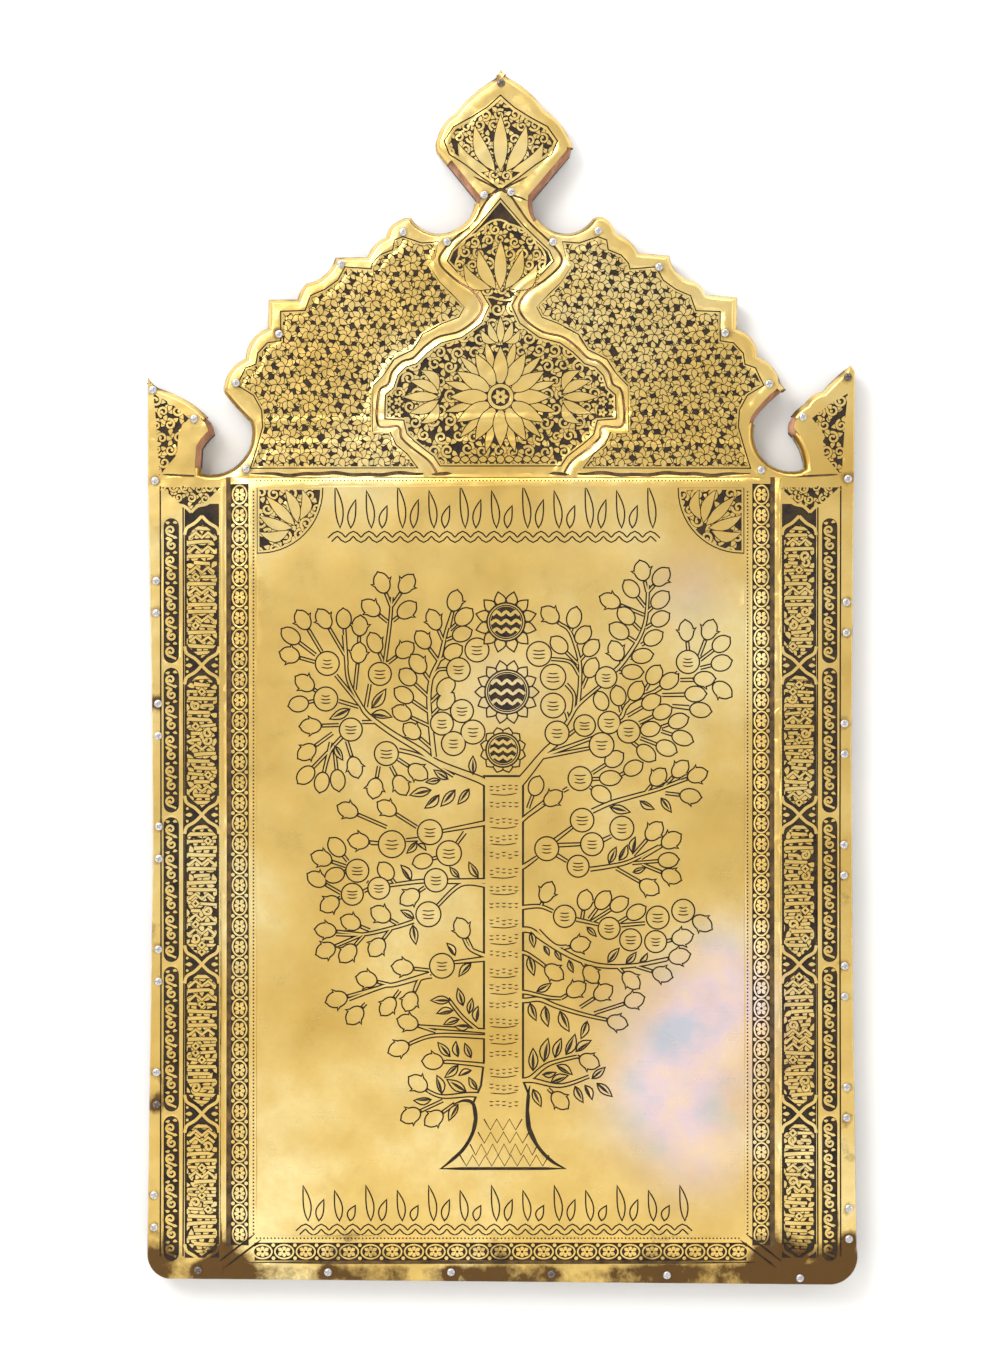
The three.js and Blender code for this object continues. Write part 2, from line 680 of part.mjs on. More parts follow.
function geometryOf(solid) {
  const { numProp, vertProperties, triVerts } = solid.getMesh();
  const geometry = new THREE.BufferGeometry();
  const positions = new Float32Array(vertProperties.length / numProp * 3);
  for (let i = 0; i < positions.length / 3; i += 1) {
    positions.set(vertProperties.subarray(i * numProp, i * numProp + 3), i * 3);
  }
  geometry.setAttribute('position', new THREE.BufferAttribute(positions, 3));
  geometry.setIndex(new THREE.BufferAttribute(new Uint32Array(triVerts), 1));
  return geometry;
}

function piece(name, geometry, finish) {
  const mesh = new THREE.Mesh(geometry, new THREE.MeshStandardMaterial(finish));
  mesh.name = name;
  return mesh;
}

const plaque = new THREE.Group();
const outline = plaqueOutline(() => 1);
plaque.add(piece('backing_panel', geometryOf(backingPanel()), blackFinish));
plaque.add(piece('wooden_board', geometryOf(woodenBoard(outline)), woodFinish));
plaque.add(piece('brass_sheet', geometryOf(brassSheet(outline)), brassFinish));
for (const { name, x, z } of screwPlaces()) {
  const screw = piece(name, screwGeometry(), steelFinish);
  screw.rotation.x = Math.PI;
  screw.position.set(x, -(rimFace + gap), z);
  plaque.add(screw);
}

export default plaque;
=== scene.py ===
# Looks of the engraved brass plaque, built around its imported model.
# Plans are in millimetres, x to the right and z up, and heights count outwards from the wall.
import math
import random

import bpy
import numpy as np
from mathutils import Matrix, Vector
from mathutils.geometry import delaunay_2d_cdt


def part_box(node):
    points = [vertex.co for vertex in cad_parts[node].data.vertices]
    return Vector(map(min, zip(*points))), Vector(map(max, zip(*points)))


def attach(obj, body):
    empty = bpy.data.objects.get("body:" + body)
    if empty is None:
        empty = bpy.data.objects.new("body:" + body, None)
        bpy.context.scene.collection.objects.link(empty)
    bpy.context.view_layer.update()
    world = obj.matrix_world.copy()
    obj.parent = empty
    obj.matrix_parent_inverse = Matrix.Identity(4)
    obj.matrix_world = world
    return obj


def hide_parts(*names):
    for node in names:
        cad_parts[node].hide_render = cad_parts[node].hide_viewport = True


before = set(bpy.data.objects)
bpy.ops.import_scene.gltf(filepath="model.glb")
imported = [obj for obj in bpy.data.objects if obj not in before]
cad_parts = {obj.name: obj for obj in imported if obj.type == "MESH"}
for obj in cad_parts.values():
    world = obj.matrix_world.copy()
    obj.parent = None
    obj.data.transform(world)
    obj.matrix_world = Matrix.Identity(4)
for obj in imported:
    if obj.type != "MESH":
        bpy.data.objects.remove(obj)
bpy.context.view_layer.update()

MM = 0.001

# Places that were read off the photograph are in its pixels, and spot() turns them into mm
PIXEL = 0.74
PHOTO_MIDDLE = (500.5, 676.5)

# Levels of the sheet's face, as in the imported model
RIM_FACE = 23.6
SHEET = 1.0
FIELD_FACE = 26.6
VALLEY_SINK = 0.3
BEVEL_BACK = 17.6
FLANGE_BACK = 9.6
BOARD_BACK = 6.3
BOARD_FRONT = 22.3
BOARD_SKIN = 1.3
BACKING_FRONT = 6.0
BACKING_INSET = 1.2
BACKING_HOLLOW = 0.85

# Field, slope, bead and edge
SLOPE_FOOT = 198.7
SLOPE_HEAD = 184.0
FIELD_TOP = (143.0, 149.5)
FIELD_BOTTOM = (-416.0, -434.8)
BEAD_LINE = 205.3
BEAD_HALF = 2.4
BEAD_RISE = 1.0
BAND_OUTER = 207.6
FIELD_HALF = 180.2
FIELD_LOW = -413.0
FIELD_HIGH = 139.5
BAND_BOTTOM = -470.0
CREST_BEVEL = 4.5
BODY_BEVEL = 1.6
CREST_FOOT = 149.0
CREST_SPLIT = 147.5
BODY_HALF = 256.0

# Kinds of surface, which are also the material slots of the brass pieces
BRIGHT, DARK, BROWN = 0, 1, 2
ENGRAVED = {BRIGHT: 0.0, DARK: 0.5, BROWN: 0.45}
LINE = 1.1
SKIRT = 0.32

# Outline from the finial tip down each side: distance out, height, bow of the arc to there
LEFT_SIDE = [
    (0, 451, 0), (4.4, 443.3, -0.7), (33.7, 417.7, 1.9), (47, 399.2, 2.2), (47.4, 388.9, 1.1),
    (19.2, 353.7, 0), (32.2, 332.6, -3.7), (66.2, 340, -7.4), (75.8, 337.8, 1.1),
    (84.7, 326, 2.2), (98.8, 311.2, 2.2), (122.5, 310.8, 0), (143.9, 291.6, -4.4),
    (150.6, 279.7, 1.1), (172.1, 279.7, 0), (172.6, 258.3, 0), (189.1, 235.7, 4.4),
    (205, 216.4, 3.3), (204.6, 209.8, 0.7), (185.4, 188.3, 0.7), (222, 150.6, -14.8),
    (220.9, 169.1, 0), (211.6, 179.8, -0.7), (215, 190.2, 0.7), (230.5, 203.5, 0.7),
    (254.2, 214.2, 0.7), (261.8, 222, -0.7), (261.6, 145.4, 0), (258.6, -17.4, 0),
    (257.9, -128.4, 0), (260.9, -343, 0), (262, -428.1, 0), (246.8, -446.6, 4.5),
]
RIGHT_SIDE = [
    (0, 451, 0), (5.9, 444, -0.7), (32.2, 420.7, 2.2), (52.2, 396.3, 2.6), (52.9, 387.4, 1.1),
    (24.8, 354.1, 0), (35.1, 332.6, -3.7), (68.4, 339.6, -7.2), (77, 340.4, 1.1),
    (85.5, 328.9, 1.5), (102.5, 314.1, 2.2), (125.4, 312.3, 0), (143.2, 293.4, -4.4),
    (152.4, 283.4, 1.1), (175.8, 281.2, 0), (175.4, 257.9, 0), (190.9, 237.2, 4.4),
    (207.6, 217.9, 3.3), (212, 212.8, -0.4), (189.8, 190.6, -1.5), (221.6, 152.8, -14.8),
    (225, 154.7, 0), (213.5, 180.9, -3), (214.2, 190.2, 1.1), (226.1, 202.4, 1.5),
    (238.7, 211.3, 1.9), (260.1, 230.9, 1.1), (263.1, 226.1, 0), (262.3, 145.4, 0),
    (260.5, -54.4, 0), (261.6, -239.4, 0), (264.2, -424.4, 0), (242.3, -451, 8.9),
]

# Where the wood of the sloped edge lies bare: side, low, high, near, far
BARE_WOOD = [
    (-1, 352, 380, 15, 45), (1, 340, 392, 20, 56), (1, 186, 211, 186, 213),
    (-1, 153, 193, 205, 224), (1, 178, 194, 205, 219),
]

# Crest: the line round the medallion, and the leaf, ear and finial panels
MEDALLION_HALF = [
    (0, 361), (21.1, 336.3), (40.3, 317.8), (45.1, 306.4), (33.7, 294.1), (19.6, 284.5),
    (13.7, 274.2), (18.1, 264.6), (30.7, 255.3), (46.2, 251.2), (56.6, 243.8), (64.8, 235.7),
    (72.9, 233.1), (80.3, 225.3), (83.2, 216.4), (89.9, 210.5), (90.5, 186.1), (75.5, 185),
    (73.6, 177.2), (66.2, 169.8), (52.9, 159.5), (47.4, 151),
]
LEAF_PANEL = [
    (72.2, 324.1), (77.3, 321.9), (78.4, 314.9), (88.4, 310.8), (93.6, 304.9), (94.7, 300.1),
    (114.3, 301.6), (119.5, 292.3), (129.1, 285.3), (139.5, 280.8), (143.6, 269.4),
    (161.2, 268.8), (161.2, 247.2), (171.7, 245.7), (178.3, 238.7), (179.7, 230.1),
    (187.6, 227.2), (193.1, 216.1), (181.7, 209.1), (175.4, 197.6), (174.6, 184.6),
    (178.9, 169.1), (183.2, 155.5), (63.6, 155.5), (69.9, 163.6), (78.4, 170.6),
    (82.7, 179.9), (96.1, 179.9), (95.5, 215.9), (87, 224.4), (79.8, 235.7), (65.7, 242.9),
    (58.6, 254.2), (44.5, 262), (31.7, 266.9), (28.2, 273.3), (37.4, 282.5), (45.9, 291),
    (53.6, 303.8), (49.4, 310.8), (47.3, 320.1), (58.6, 319.3),
]
EAR_PANEL = [
    (257, 209.5), (243, 201.5), (230.5, 191), (238, 182), (239.5, 164), (252.5, 148.5),
    (255, 190),
]
FINIAL_PANEL = [
    (0, 427), (9, 419), (22, 411), (33, 405), (39.5, 396), (36, 388), (25, 381), (12, 371),
    (0, 363), (-12, 371), (-25, 381), (-36, 388), (-39, 396), (-33, 405), (-22, 411),
    (-9, 419),
]


# Plan geometry
def spot(px, py):
    return ((px - PHOTO_MIDDLE[0]) * PIXEL, (PHOTO_MIDDLE[1] - py) * PIXEL)


def spots(points):
    return [spot(*p) for p in points]


def area(loop):
    total = 0.0
    for (x0, z0), (x1, z1) in zip(loop, loop[1:] + loop[:1]):
        total += x0 * z1 - x1 * z0
    return total / 2


def mirrored(loop, side):
    return list(loop) if side > 0 else [(-x, z) for x, z in loop]


def arc_points(start, end, bow, fineness):
    dx, dz = end[0] - start[0], end[1] - start[1]
    chord = math.hypot(dx, dz)
    steps = max(1, round(math.sqrt(abs(bow)) * fineness))
    points = []
    if steps > 1:
        radius = (chord * chord / 4 + bow * bow) / (2 * bow)
        half_angle = 2 * math.atan(2 * bow / chord)
        for i in range(1, steps):
            angle = half_angle * (2 * i / steps - 1)
            along = 0.5 + radius * math.sin(angle) / chord
            out = radius * math.cos(angle) - (radius - bow)
            points.append((start[0] + dx * along + dz / chord * out,
                           start[1] + dz * along - dx / chord * out))
    points.append(end)
    return points


def plaque_outline(bow_scale, fineness=4.0):
    sides = []
    for landmarks in (LEFT_SIDE, RIGHT_SIDE):
        points = [(-landmarks[0][0], landmarks[0][1])]
        for before, after in zip(landmarks, landmarks[1:]):
            points += arc_points((-before[0], before[1]), (-after[0], after[1]),
                                 after[2] * bow_scale(after[2]), fineness)
        sides.append(points)
    left, right = sides
    return left + [(-x, z) for x, z in reversed(right)][:-1]


def densified(loop, step):
    points = []
    for (x0, z0), (x1, z1) in zip(loop, loop[1:] + loop[:1]):
        count = max(1, round(math.hypot(x1 - x0, z1 - z0) / step))
        for i in range(count):
            points.append((x0 + (x1 - x0) * i / count, z0 + (z1 - z0) * i / count))
    return points


def inset(loop, width_at):
    tightest = 0.55
    count = len(loop)
    moved = []
    for i, point in enumerate(loop):
        before, after = loop[i - 1], loop[(i + 1) % count]
        a = Vector((point[0] - before[0], point[1] - before[1])).normalized()
        b = Vector((after[0] - point[0], after[1] - point[1])).normalized()
        inward = Vector((-a.y - b.y, a.x + b.x)).normalized()
        lean = max(tightest, inward.x * -a.y + inward.y * a.x)
        reach = width_at(point) / lean
        moved.append((point[0] + inward.x * reach, point[1] + inward.y * reach))
    return moved


def bevel_width(point):
    x, z = point
    return CREST_BEVEL if z > CREST_FOOT and abs(x) <= BODY_HALF else BODY_BEVEL


def smooth(points, step=1.6, closed=False):
    """A curve through the points, with a point about every step."""
    if len(points) < 3 and not closed:
        (x0, z0), (x1, z1) = points
        count = max(1, round(math.hypot(x1 - x0, z1 - z0) / (3 * step)))
        return [(x0 + (x1 - x0) * i / count, z0 + (z1 - z0) * i / count)
                for i in range(count + 1)]
    if closed:
        ring = [points[-1]] + list(points) + [points[0], points[1]]
    else:
        ring = [points[0]] + list(points) + [points[-1]]
    curve = []
    for i in range(1, len(ring) - 2):
        p0, p1, p2, p3 = (Vector(p) for p in ring[i - 1:i + 3])
        count = max(1, round((p2 - p1).length / step))
        for k in range(count):
            t = k / count
            point = 0.5 * (2 * p1 + (p2 - p0) * t + (2 * p0 - 5 * p1 + 4 * p2 - p3) * t * t
                           + (3 * p1 - p0 - 3 * p2 + p3) * t ** 3)
            curve.append((point.x, point.y))
    if not closed:
        curve.append(tuple(points[-1]))
    return curve


def circle(centre, radius, count=20, squash=1.0, turn=0.0):
    loop = []
    for i in range(count):
        angle = 2 * math.pi * i / count
        u, v = radius * math.cos(angle), radius * squash * math.sin(angle)
        loop.append((centre[0] + u * math.cos(turn) - v * math.sin(turn),
                     centre[1] + u * math.sin(turn) + v * math.cos(turn)))
    return loop


def leaf_loop(base, tip, width, bend=0.0, samples=5, fullness=0.85):
    """A pointed leaf from base to tip, bent to one side."""
    start, end = Vector(base), Vector(tip)
    along = end - start
    across = Vector((-along.y, along.x)).normalized()
    left, right = [], []
    for i in range(1, samples):
        t = i / samples
        middle = start + along * t + across * bend * math.sin(math.pi * t)
        half = width / 2 * math.sin(math.pi * t ** fullness)
        left.append(tuple(middle + across * half))
        right.append(tuple(middle - across * half))
    return [tuple(start)] + right + [tuple(end)] + left[::-1]


def closed_by_longest(ring):
    """The same loop, closed by its longest edge, from which its inside is filled."""
    lengths = [math.dist(a, b) for a, b in zip(ring, ring[1:] + ring[:1])]
    first = lengths.index(max(lengths)) + 1
    return ring[first:] + ring[:first]


def toward(point, angle, distance):
    return (point[0] + distance * math.cos(angle), point[1] + distance * math.sin(angle))


# Relief: shapes laid over one another in the plane and cut into the sheet as one mesh
class Relief:
    def __init__(self, keeps):
        self.points = []
        self.faces = []
        self.marks = []
        self.keeps = [self.face(loop) for loop in keeps]

    def face(self, loop, kind=None, layer=0, mask=None):
        ring = []
        for point in loop:
            if not ring or math.dist(point, ring[-1]) > 0.02:
                ring.append(tuple(point))
        if len(ring) > 2 and math.dist(ring[0], ring[-1]) <= 0.02:
            ring.pop()
        if len(ring) < 3 or abs(area(ring)) < 0.03:
            return None
        if area(ring) < 0:
            ring.reverse()
        first = len(self.points)
        self.points += closed_by_longest(ring)
        self.faces.append(list(range(first, first + len(ring))))
        self.marks.append((kind, layer, mask))
        return len(self.faces) - 1

    def island(self, loop, layer, mask=None, skirt=SKIRT):
        """A bright shape that stands in a dark ground, with the ground's foot round it."""
        if not self.touches(loop, mask):
            return
        self.face(loop, BRIGHT, layer, mask)
        ring = loop if area(loop) > 0 else loop[::-1]
        if skirt:
            self.face(inset(ring, lambda _: -skirt))

    def lapped(self, loop, layer, mask=None, line=0.45):
        """A bright shape with an engraved line round it, laid over the ones before it."""
        if not self.touches(loop, mask):
            return
        ring = loop if area(loop) > 0 else loop[::-1]
        self.face(inset(ring, lambda _: -line), DARK, layer, mask)
        self.face(inset(ring, lambda _: -line / 2))
        self.face(ring, BRIGHT, layer, mask)

    def lapped_stroke(self, path, half, layer, mask=None, line=0.5):
        """A bright stroke with engraved lines on both sides, laid over the ones before it."""
        if not self.touches(path, mask):
            return
        grown = lambda extra: (lambda t: half(t) + extra) if callable(half) else half + extra
        self.band(path, grown(line), DARK, layer, mask)
        left, right = self.sides(path, grown(line / 2))
        self.face(right + left[::-1])
        self.band(path, half, BRIGHT, layer, mask)

    def groove_ring(self, loop, layer, width=LINE, fill=BRIGHT, mask=None, kind=DARK):
        """An engraved line along a closed loop."""
        ring = loop if area(loop) > 0 else loop[::-1]
        self.face(inset(ring, lambda _: -width / 2), kind, layer, mask)
        self.face(inset(ring, lambda _: width / 2), fill, layer + 0.1, mask)
        self.face(ring)

    def sides(self, path, half):
        """Points on both sides of a path, where half is a width or a function of 0..1."""
        left, right = [], []
        count = len(path)
        for i, point in enumerate(path):
            before, after = path[max(0, i - 1)], path[min(count - 1, i + 1)]
            along = Vector((after[0] - before[0], after[1] - before[1]))
            if along.length < 1e-6:
                along = Vector((1, 0))
            across = Vector((-along.y, along.x)).normalized()
            reach = half(i / max(1, count - 1)) if callable(half) else half
            left.append((point[0] + across.x * reach, point[1] + across.y * reach))
            right.append((point[0] - across.x * reach, point[1] - across.y * reach))
        return left, right

    def band(self, path, half, kind, layer, mask=None, split=False):
        left, right = self.sides(path, half)
        for i in range(len(path) - 1):
            quad = [right[i], right[i + 1], left[i + 1], left[i]]
            turns = []
            for k in range(4):
                a, b, c = quad[k], quad[(k + 1) % 4], quad[(k + 2) % 4]
                turns.append((b[0] - a[0]) * (c[1] - b[1]) - (b[1] - a[1]) * (c[0] - b[0]))
            if min(turns) < -1e-4:
                reach = half(i / (len(path) - 1)) if callable(half) else half
                p, q = Vector(path[i]), Vector(path[i + 1])
                across = Vector((p.y - q.y, q.x - p.x)).normalized() * reach
                quad = [tuple(p - across), tuple(q - across), tuple(q + across),
                        tuple(p + across)]
            if split:
                self.face([quad[0], quad[1], path[i + 1], path[i]], kind, layer, mask)
                self.face([path[i], path[i + 1], quad[2], quad[3]], kind, layer, mask)
            else:
                self.face(quad, kind, layer, mask)

    def groove(self, path, layer, width=LINE, mask=None, kind=DARK, taper=True):
        """An engraved line along an open path, drawn to points at its ends."""
        full = width / 2
        half = (lambda t: full * min(1.0, 0.25 + 5 * min(t, 1 - t))) if taper else full
        self.band(path, half, kind, layer, mask, split=True)

    def ribbon(self, path, half, layer, mask=None, skirt=SKIRT):
        """A bright stroke that stands in a dark ground."""
        if not self.touches(path, mask):
            return
        self.band(path, half, BRIGHT, layer, mask)
        if skirt:
            wide = (lambda t: half(t) + skirt) if callable(half) else half + skirt
            left, right = self.sides(path, wide)
            self.face(right + left[::-1])

    def outlined(self, path, half, layers, width=LINE):
        """A bright stroke between two engraved lines, which joins others of its layer."""
        outer = (lambda t: half(t) + width / 2) if callable(half) else half + width / 2
        inner = (lambda t: half(t) - width / 2) if callable(half) else half - width / 2
        self.band(path, outer, DARK, layers[0])
        self.band(path, inner, BRIGHT, layers[1])
        left, right = self.sides(path, half)
        self.face(right + left[::-1])

    def astray(self, verts, tris, origins):
        """Loops whose filling escaped at a crossing, with the triangles truly inside them."""
        corners = np.array([tuple(v) for v in verts])[np.array(tris)]
        a, b, c = corners[:, 0], corners[:, 1], corners[:, 2]
        sizes = np.abs((b[:, 0] - a[:, 0]) * (c[:, 1] - a[:, 1])
                       - (b[:, 1] - a[:, 1]) * (c[:, 0] - a[:, 0])) / 2
        filled = np.zeros(len(self.faces))
        owners = np.array([i for ids in origins for i in ids], dtype=int)
        counts = [len(ids) for ids in origins]
        np.add.at(filled, owners, np.repeat(sizes, counts))
        middle = corners.mean(axis=1)
        found = {}
        for i, indices in enumerate(self.faces):
            ring = [self.points[k] for k in indices]
            size = area(ring)
            if abs(filled[i] - size) > 0.05 + 0.1 * size:
                found[i] = inside_loop(middle[:, 0], middle[:, 1], ring)
        return found

    def touches(self, loop, mask):
        """Whether some point of a loop lies inside a mask, or there is no mask."""
        if mask is None:
            return True
        ring = [self.points[k] for k in self.faces[mask]]
        xs, zs = np.array(loop).T
        return bool(inside_loop(xs, zs, ring).any())

    def build(self, name, height, spacing, seed, holes=frozenset()):
        low, high = np.min(self.points, axis=0), np.max(self.points, axis=0)
        rng = random.Random(seed)
        z = low[1]
        while z < high[1]:
            x = low[0]
            while x < high[0]:
                self.points.append((x + rng.uniform(-0.3, 0.3) * spacing,
                                    z + rng.uniform(-0.3, 0.3) * spacing))
                x += spacing
            z += spacing
        flat = [Vector(p) for p in self.points]
        verts, _, tris, _, _, origins = delaunay_2d_cdt(
            flat, [], self.faces, 0, 1e-4, True)
        order = sorted(range(len(self.marks)), key=lambda i: (self.marks[i][1], i))
        rank = {index: place for place, index in enumerate(order)}
        keeps = set(self.keeps)
        astray = self.astray(verts, tris, origins)
        kept, kinds = [], []
        for k, (tri, ids) in enumerate(zip(tris, origins)):
            inside = set(ids)
            for i, truly in astray.items():
                if truly[k]:
                    inside.add(i)
                else:
                    inside.discard(i)
            if not keeps <= inside or holes & inside:
                continue
            best, kind = -1, BRIGHT
            for i in inside:
                paint, _, mask = self.marks[i]
                if paint is not None and rank[i] > best and (mask is None or mask in inside):
                    best, kind = rank[i], paint
            kept.append(tri)
            kinds.append(kind)
        return relief_object(name, verts, kept, kinds, height)


def inside_loop(x, z, loop):
    """Whether points lie inside a loop, by counting its edges to their right."""
    within = np.zeros(np.shape(x), dtype=bool)
    for (x0, z0), (x1, z1) in zip(loop, loop[1:] + loop[:1]):
        if z0 != z1:
            crosses = (z0 > z) != (z1 > z)
            within ^= crosses & (x < (x1 - x0) * (z - z0) / (z1 - z0) + x0)
    return within


def relief_object(name, verts, tris, kinds, height):
    tri_array = np.array(tris)
    kind_array = np.array(kinds)
    used, flat_index = np.unique(tri_array, return_inverse=True)
    tri_array = flat_index.reshape(tri_array.shape)
    plan = np.array([verts[i] for i in used])
    depth = np.zeros(len(used))
    for kind in (DARK, BROWN):
        depth[tri_array[kind_array == kind].ravel()] = ENGRAVED[kind]
    depth[tri_array[kind_array == BRIGHT].ravel()] = 0.0
    x, z = plan[:, 0], plan[:, 1]
    coords = np.column_stack((x, depth - height(x, z), z)) * MM
    return mesh_object(name, coords, tri_array, kind_array, BRASS_MATERIALS)


def mesh_object(name, coords, faces, kinds, materials, sharp=28):
    mesh = bpy.data.meshes.new(name)
    face_list = faces.tolist() if isinstance(faces, np.ndarray) else faces
    coord_list = coords.tolist() if isinstance(coords, np.ndarray) else coords
    mesh.from_pydata(coord_list, [], face_list)
    for material in materials:
        mesh.materials.append(material)
    if kinds is not None:
        mesh.polygons.foreach_set("material_index", np.array(kinds, dtype=np.int32))
    mesh.polygons.foreach_set("use_smooth", [True] * len(mesh.polygons))
    mesh.set_sharp_from_angle(angle=math.radians(sharp))
    piece = bpy.data.objects.new(name, mesh)
    bpy.context.scene.collection.objects.link(piece)
    return piece


def finish_piece(piece, slot, *nodes):
    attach(piece, "root")
    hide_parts(*nodes)
    return piece


# Heights of the sheet's face
def waves(x, z, length, seed):
    """Smooth random hills between about -1 and 1, from a few crossing waves."""
    rng = random.Random(seed)
    total = np.zeros_like(x)
    for _ in range(6):
        angle, phase = rng.uniform(0, math.pi), rng.uniform(0, 2 * math.pi)
        size = length * rng.uniform(0.7, 1.5)
        total += np.sin((x * math.cos(angle) + z * math.sin(angle)) * 2 * math.pi / size + phase)
    return total / 3.5


def ease(t):
    t = np.clip(t, 0, 1)
    return t * t * (3 - 2 * t)


def distance_to(x, z, path):
    """Distance of each point to the nearest stretch of a path."""
    best = np.full(np.shape(x), 1e9)
    for (x0, z0), (x1, z1) in zip(path, path[1:]):
        dx, dz = x1 - x0, z1 - z0
        t = np.clip(((x - x0) * dx + (z - z0) * dz) / (dx * dx + dz * dz + 1e-9), 0, 1)
        best = np.minimum(best, np.hypot(x - x0 - t * dx, z - z0 - t * dz))
    return best


def hump(distance, centre, width):
    return np.exp(-((distance - centre) / width) ** 2)


def crest_mouldings(x, z):
    """Rounded mouldings beside the heavy line of the medallion and along the crest's edge."""
    level = np.zeros(np.shape(x))
    high = z > CREST_SPLIT
    inside = high & (np.abs(x) < 105)
    if inside.any():
        away = distance_to(x[inside], z[inside], MEDALLION_PATH)
        level[inside] += 0.75 * hump(away, 5.2, 2.6) - 0.9 * hump(away, 0, 1.6)
    if high.any():
        edge = distance_to(x[high], z[high], CREST_EDGE)
        level[high] += 0.6 * hump(edge, 8.5, 2.6) - 0.35 * hump(edge, 12.5, 1.4)
    return level


def face_height(x, z):
    side = (np.abs(x) - SLOPE_HEAD) / (SLOPE_FOOT - SLOPE_HEAD)
    low = (FIELD_BOTTOM[0] - z) / (FIELD_BOTTOM[0] - FIELD_BOTTOM[1])
    high = (z - FIELD_TOP[0]) / (FIELD_TOP[1] - FIELD_TOP[0])
    out = np.maximum(np.maximum(side, low), high)
    fall = FIELD_FACE - RIM_FACE + VALLEY_SINK
    level = FIELD_FACE - fall * (0.35 * ease(out) + 0.65 * np.clip(out, 0, 1))
    level += VALLEY_SINK * ease((out - 1) * 3)
    upright = (z < FIELD_TOP[1] - 3) & (z > FIELD_BOTTOM[1] - 2)
    across = np.clip((np.abs(x) - BEAD_LINE) / BEAD_HALF, -1, 1)
    level += np.where(upright, BEAD_RISE * (1 - across ** 2) ** 0.75, 0)
    in_field = ease(-out * 12)
    level += 0.28 * waves(x, z, 90, 3) + 0.1 * waves(x, z, 30, 4) * in_field
    level += crest_mouldings(x, z)
    outer = 1 - in_field
    level += outer * (0.12 * waves(x, z, 24, 5) + 0.1 * waves(x, z, 11, 6))
    return level


# Brass, wood, backing and steel
def new_material(name):
    material = bpy.data.materials.new(name)
    material.use_nodes = True
    nodes = material.node_tree.nodes
    nodes.clear()
    output = nodes.new("ShaderNodeOutputMaterial")
    shader = nodes.new("ShaderNodeBsdfPrincipled")
    material.node_tree.links.new(shader.outputs[0], output.inputs["Surface"])
    return material, material.node_tree, shader


class Nodes:
    """Short calls that add a node to a material and link it."""
    def __init__(self, tree):
        self.tree = tree
        self.where = tree.nodes.new("ShaderNodeTexCoord").outputs["Object"]

    def put(self, value, socket):
        if isinstance(value, bpy.types.NodeSocket):
            self.tree.links.new(value, socket)
        else:
            socket.default_value = value

    def stretch(self, scale, where=None):
        node = self.tree.nodes.new("ShaderNodeMapping")
        self.put(where or self.where, node.inputs["Vector"])
        node.inputs["Scale"].default_value = scale
        return node.outputs[0]

    def noise(self, scale, detail=4.0, roughness=0.6, where=None, distortion=0.0):
        node = self.tree.nodes.new("ShaderNodeTexNoise")
        self.put(where or self.where, node.inputs["Vector"])
        node.inputs["Scale"].default_value = scale
        node.inputs["Detail"].default_value = detail
        node.inputs["Roughness"].default_value = roughness
        node.inputs["Distortion"].default_value = distortion
        return node.outputs["Fac"]

    def ramp(self, value, stops):
        node = self.tree.nodes.new("ShaderNodeValToRGB")
        self.put(value, node.inputs[0])
        elements = node.color_ramp.elements
        while len(elements) < len(stops):
            elements.new(0.5)
        for element, (place, colour) in zip(elements, stops):
            element.position = place
            element.color = (*colour, 1.0)
        return node.outputs[0]

    def range(self, value, low, high, to_low=0.0, to_high=1.0):
        node = self.tree.nodes.new("ShaderNodeMapRange")
        for socket, number in zip(node.inputs[:5], (value, low, high, to_low, to_high)):
            self.put(number, socket)
        return node.outputs[0]

    def mix(self, share, a, b, mode="MIX"):
        node = self.tree.nodes.new("ShaderNodeMix")
        node.data_type = "RGBA"
        node.blend_type = mode
        self.put(share, node.inputs[0])
        self.put((*a, 1.0) if isinstance(a, tuple) else a, node.inputs[6])
        self.put((*b, 1.0) if isinstance(b, tuple) else b, node.inputs[7])
        return node.outputs[2]

    def math(self, operation, a, b=0.0):
        node = self.tree.nodes.new("ShaderNodeMath")
        node.operation = operation
        self.put(a, node.inputs[0])
        self.put(b, node.inputs[1])
        return node.outputs[0]

    def attribute(self, name):
        node = self.tree.nodes.new("ShaderNodeAttribute")
        node.attribute_name = name
        return node.outputs["Fac"]

    def bump(self, height, strength, distance, normal=None):
        node = self.tree.nodes.new("ShaderNodeBump")
        node.inputs["Strength"].default_value = strength
        node.inputs["Distance"].default_value = distance
        self.put(height, node.inputs["Height"])
        if normal is not None:
            self.put(normal, node.inputs["Normal"])
        return node.outputs[0]


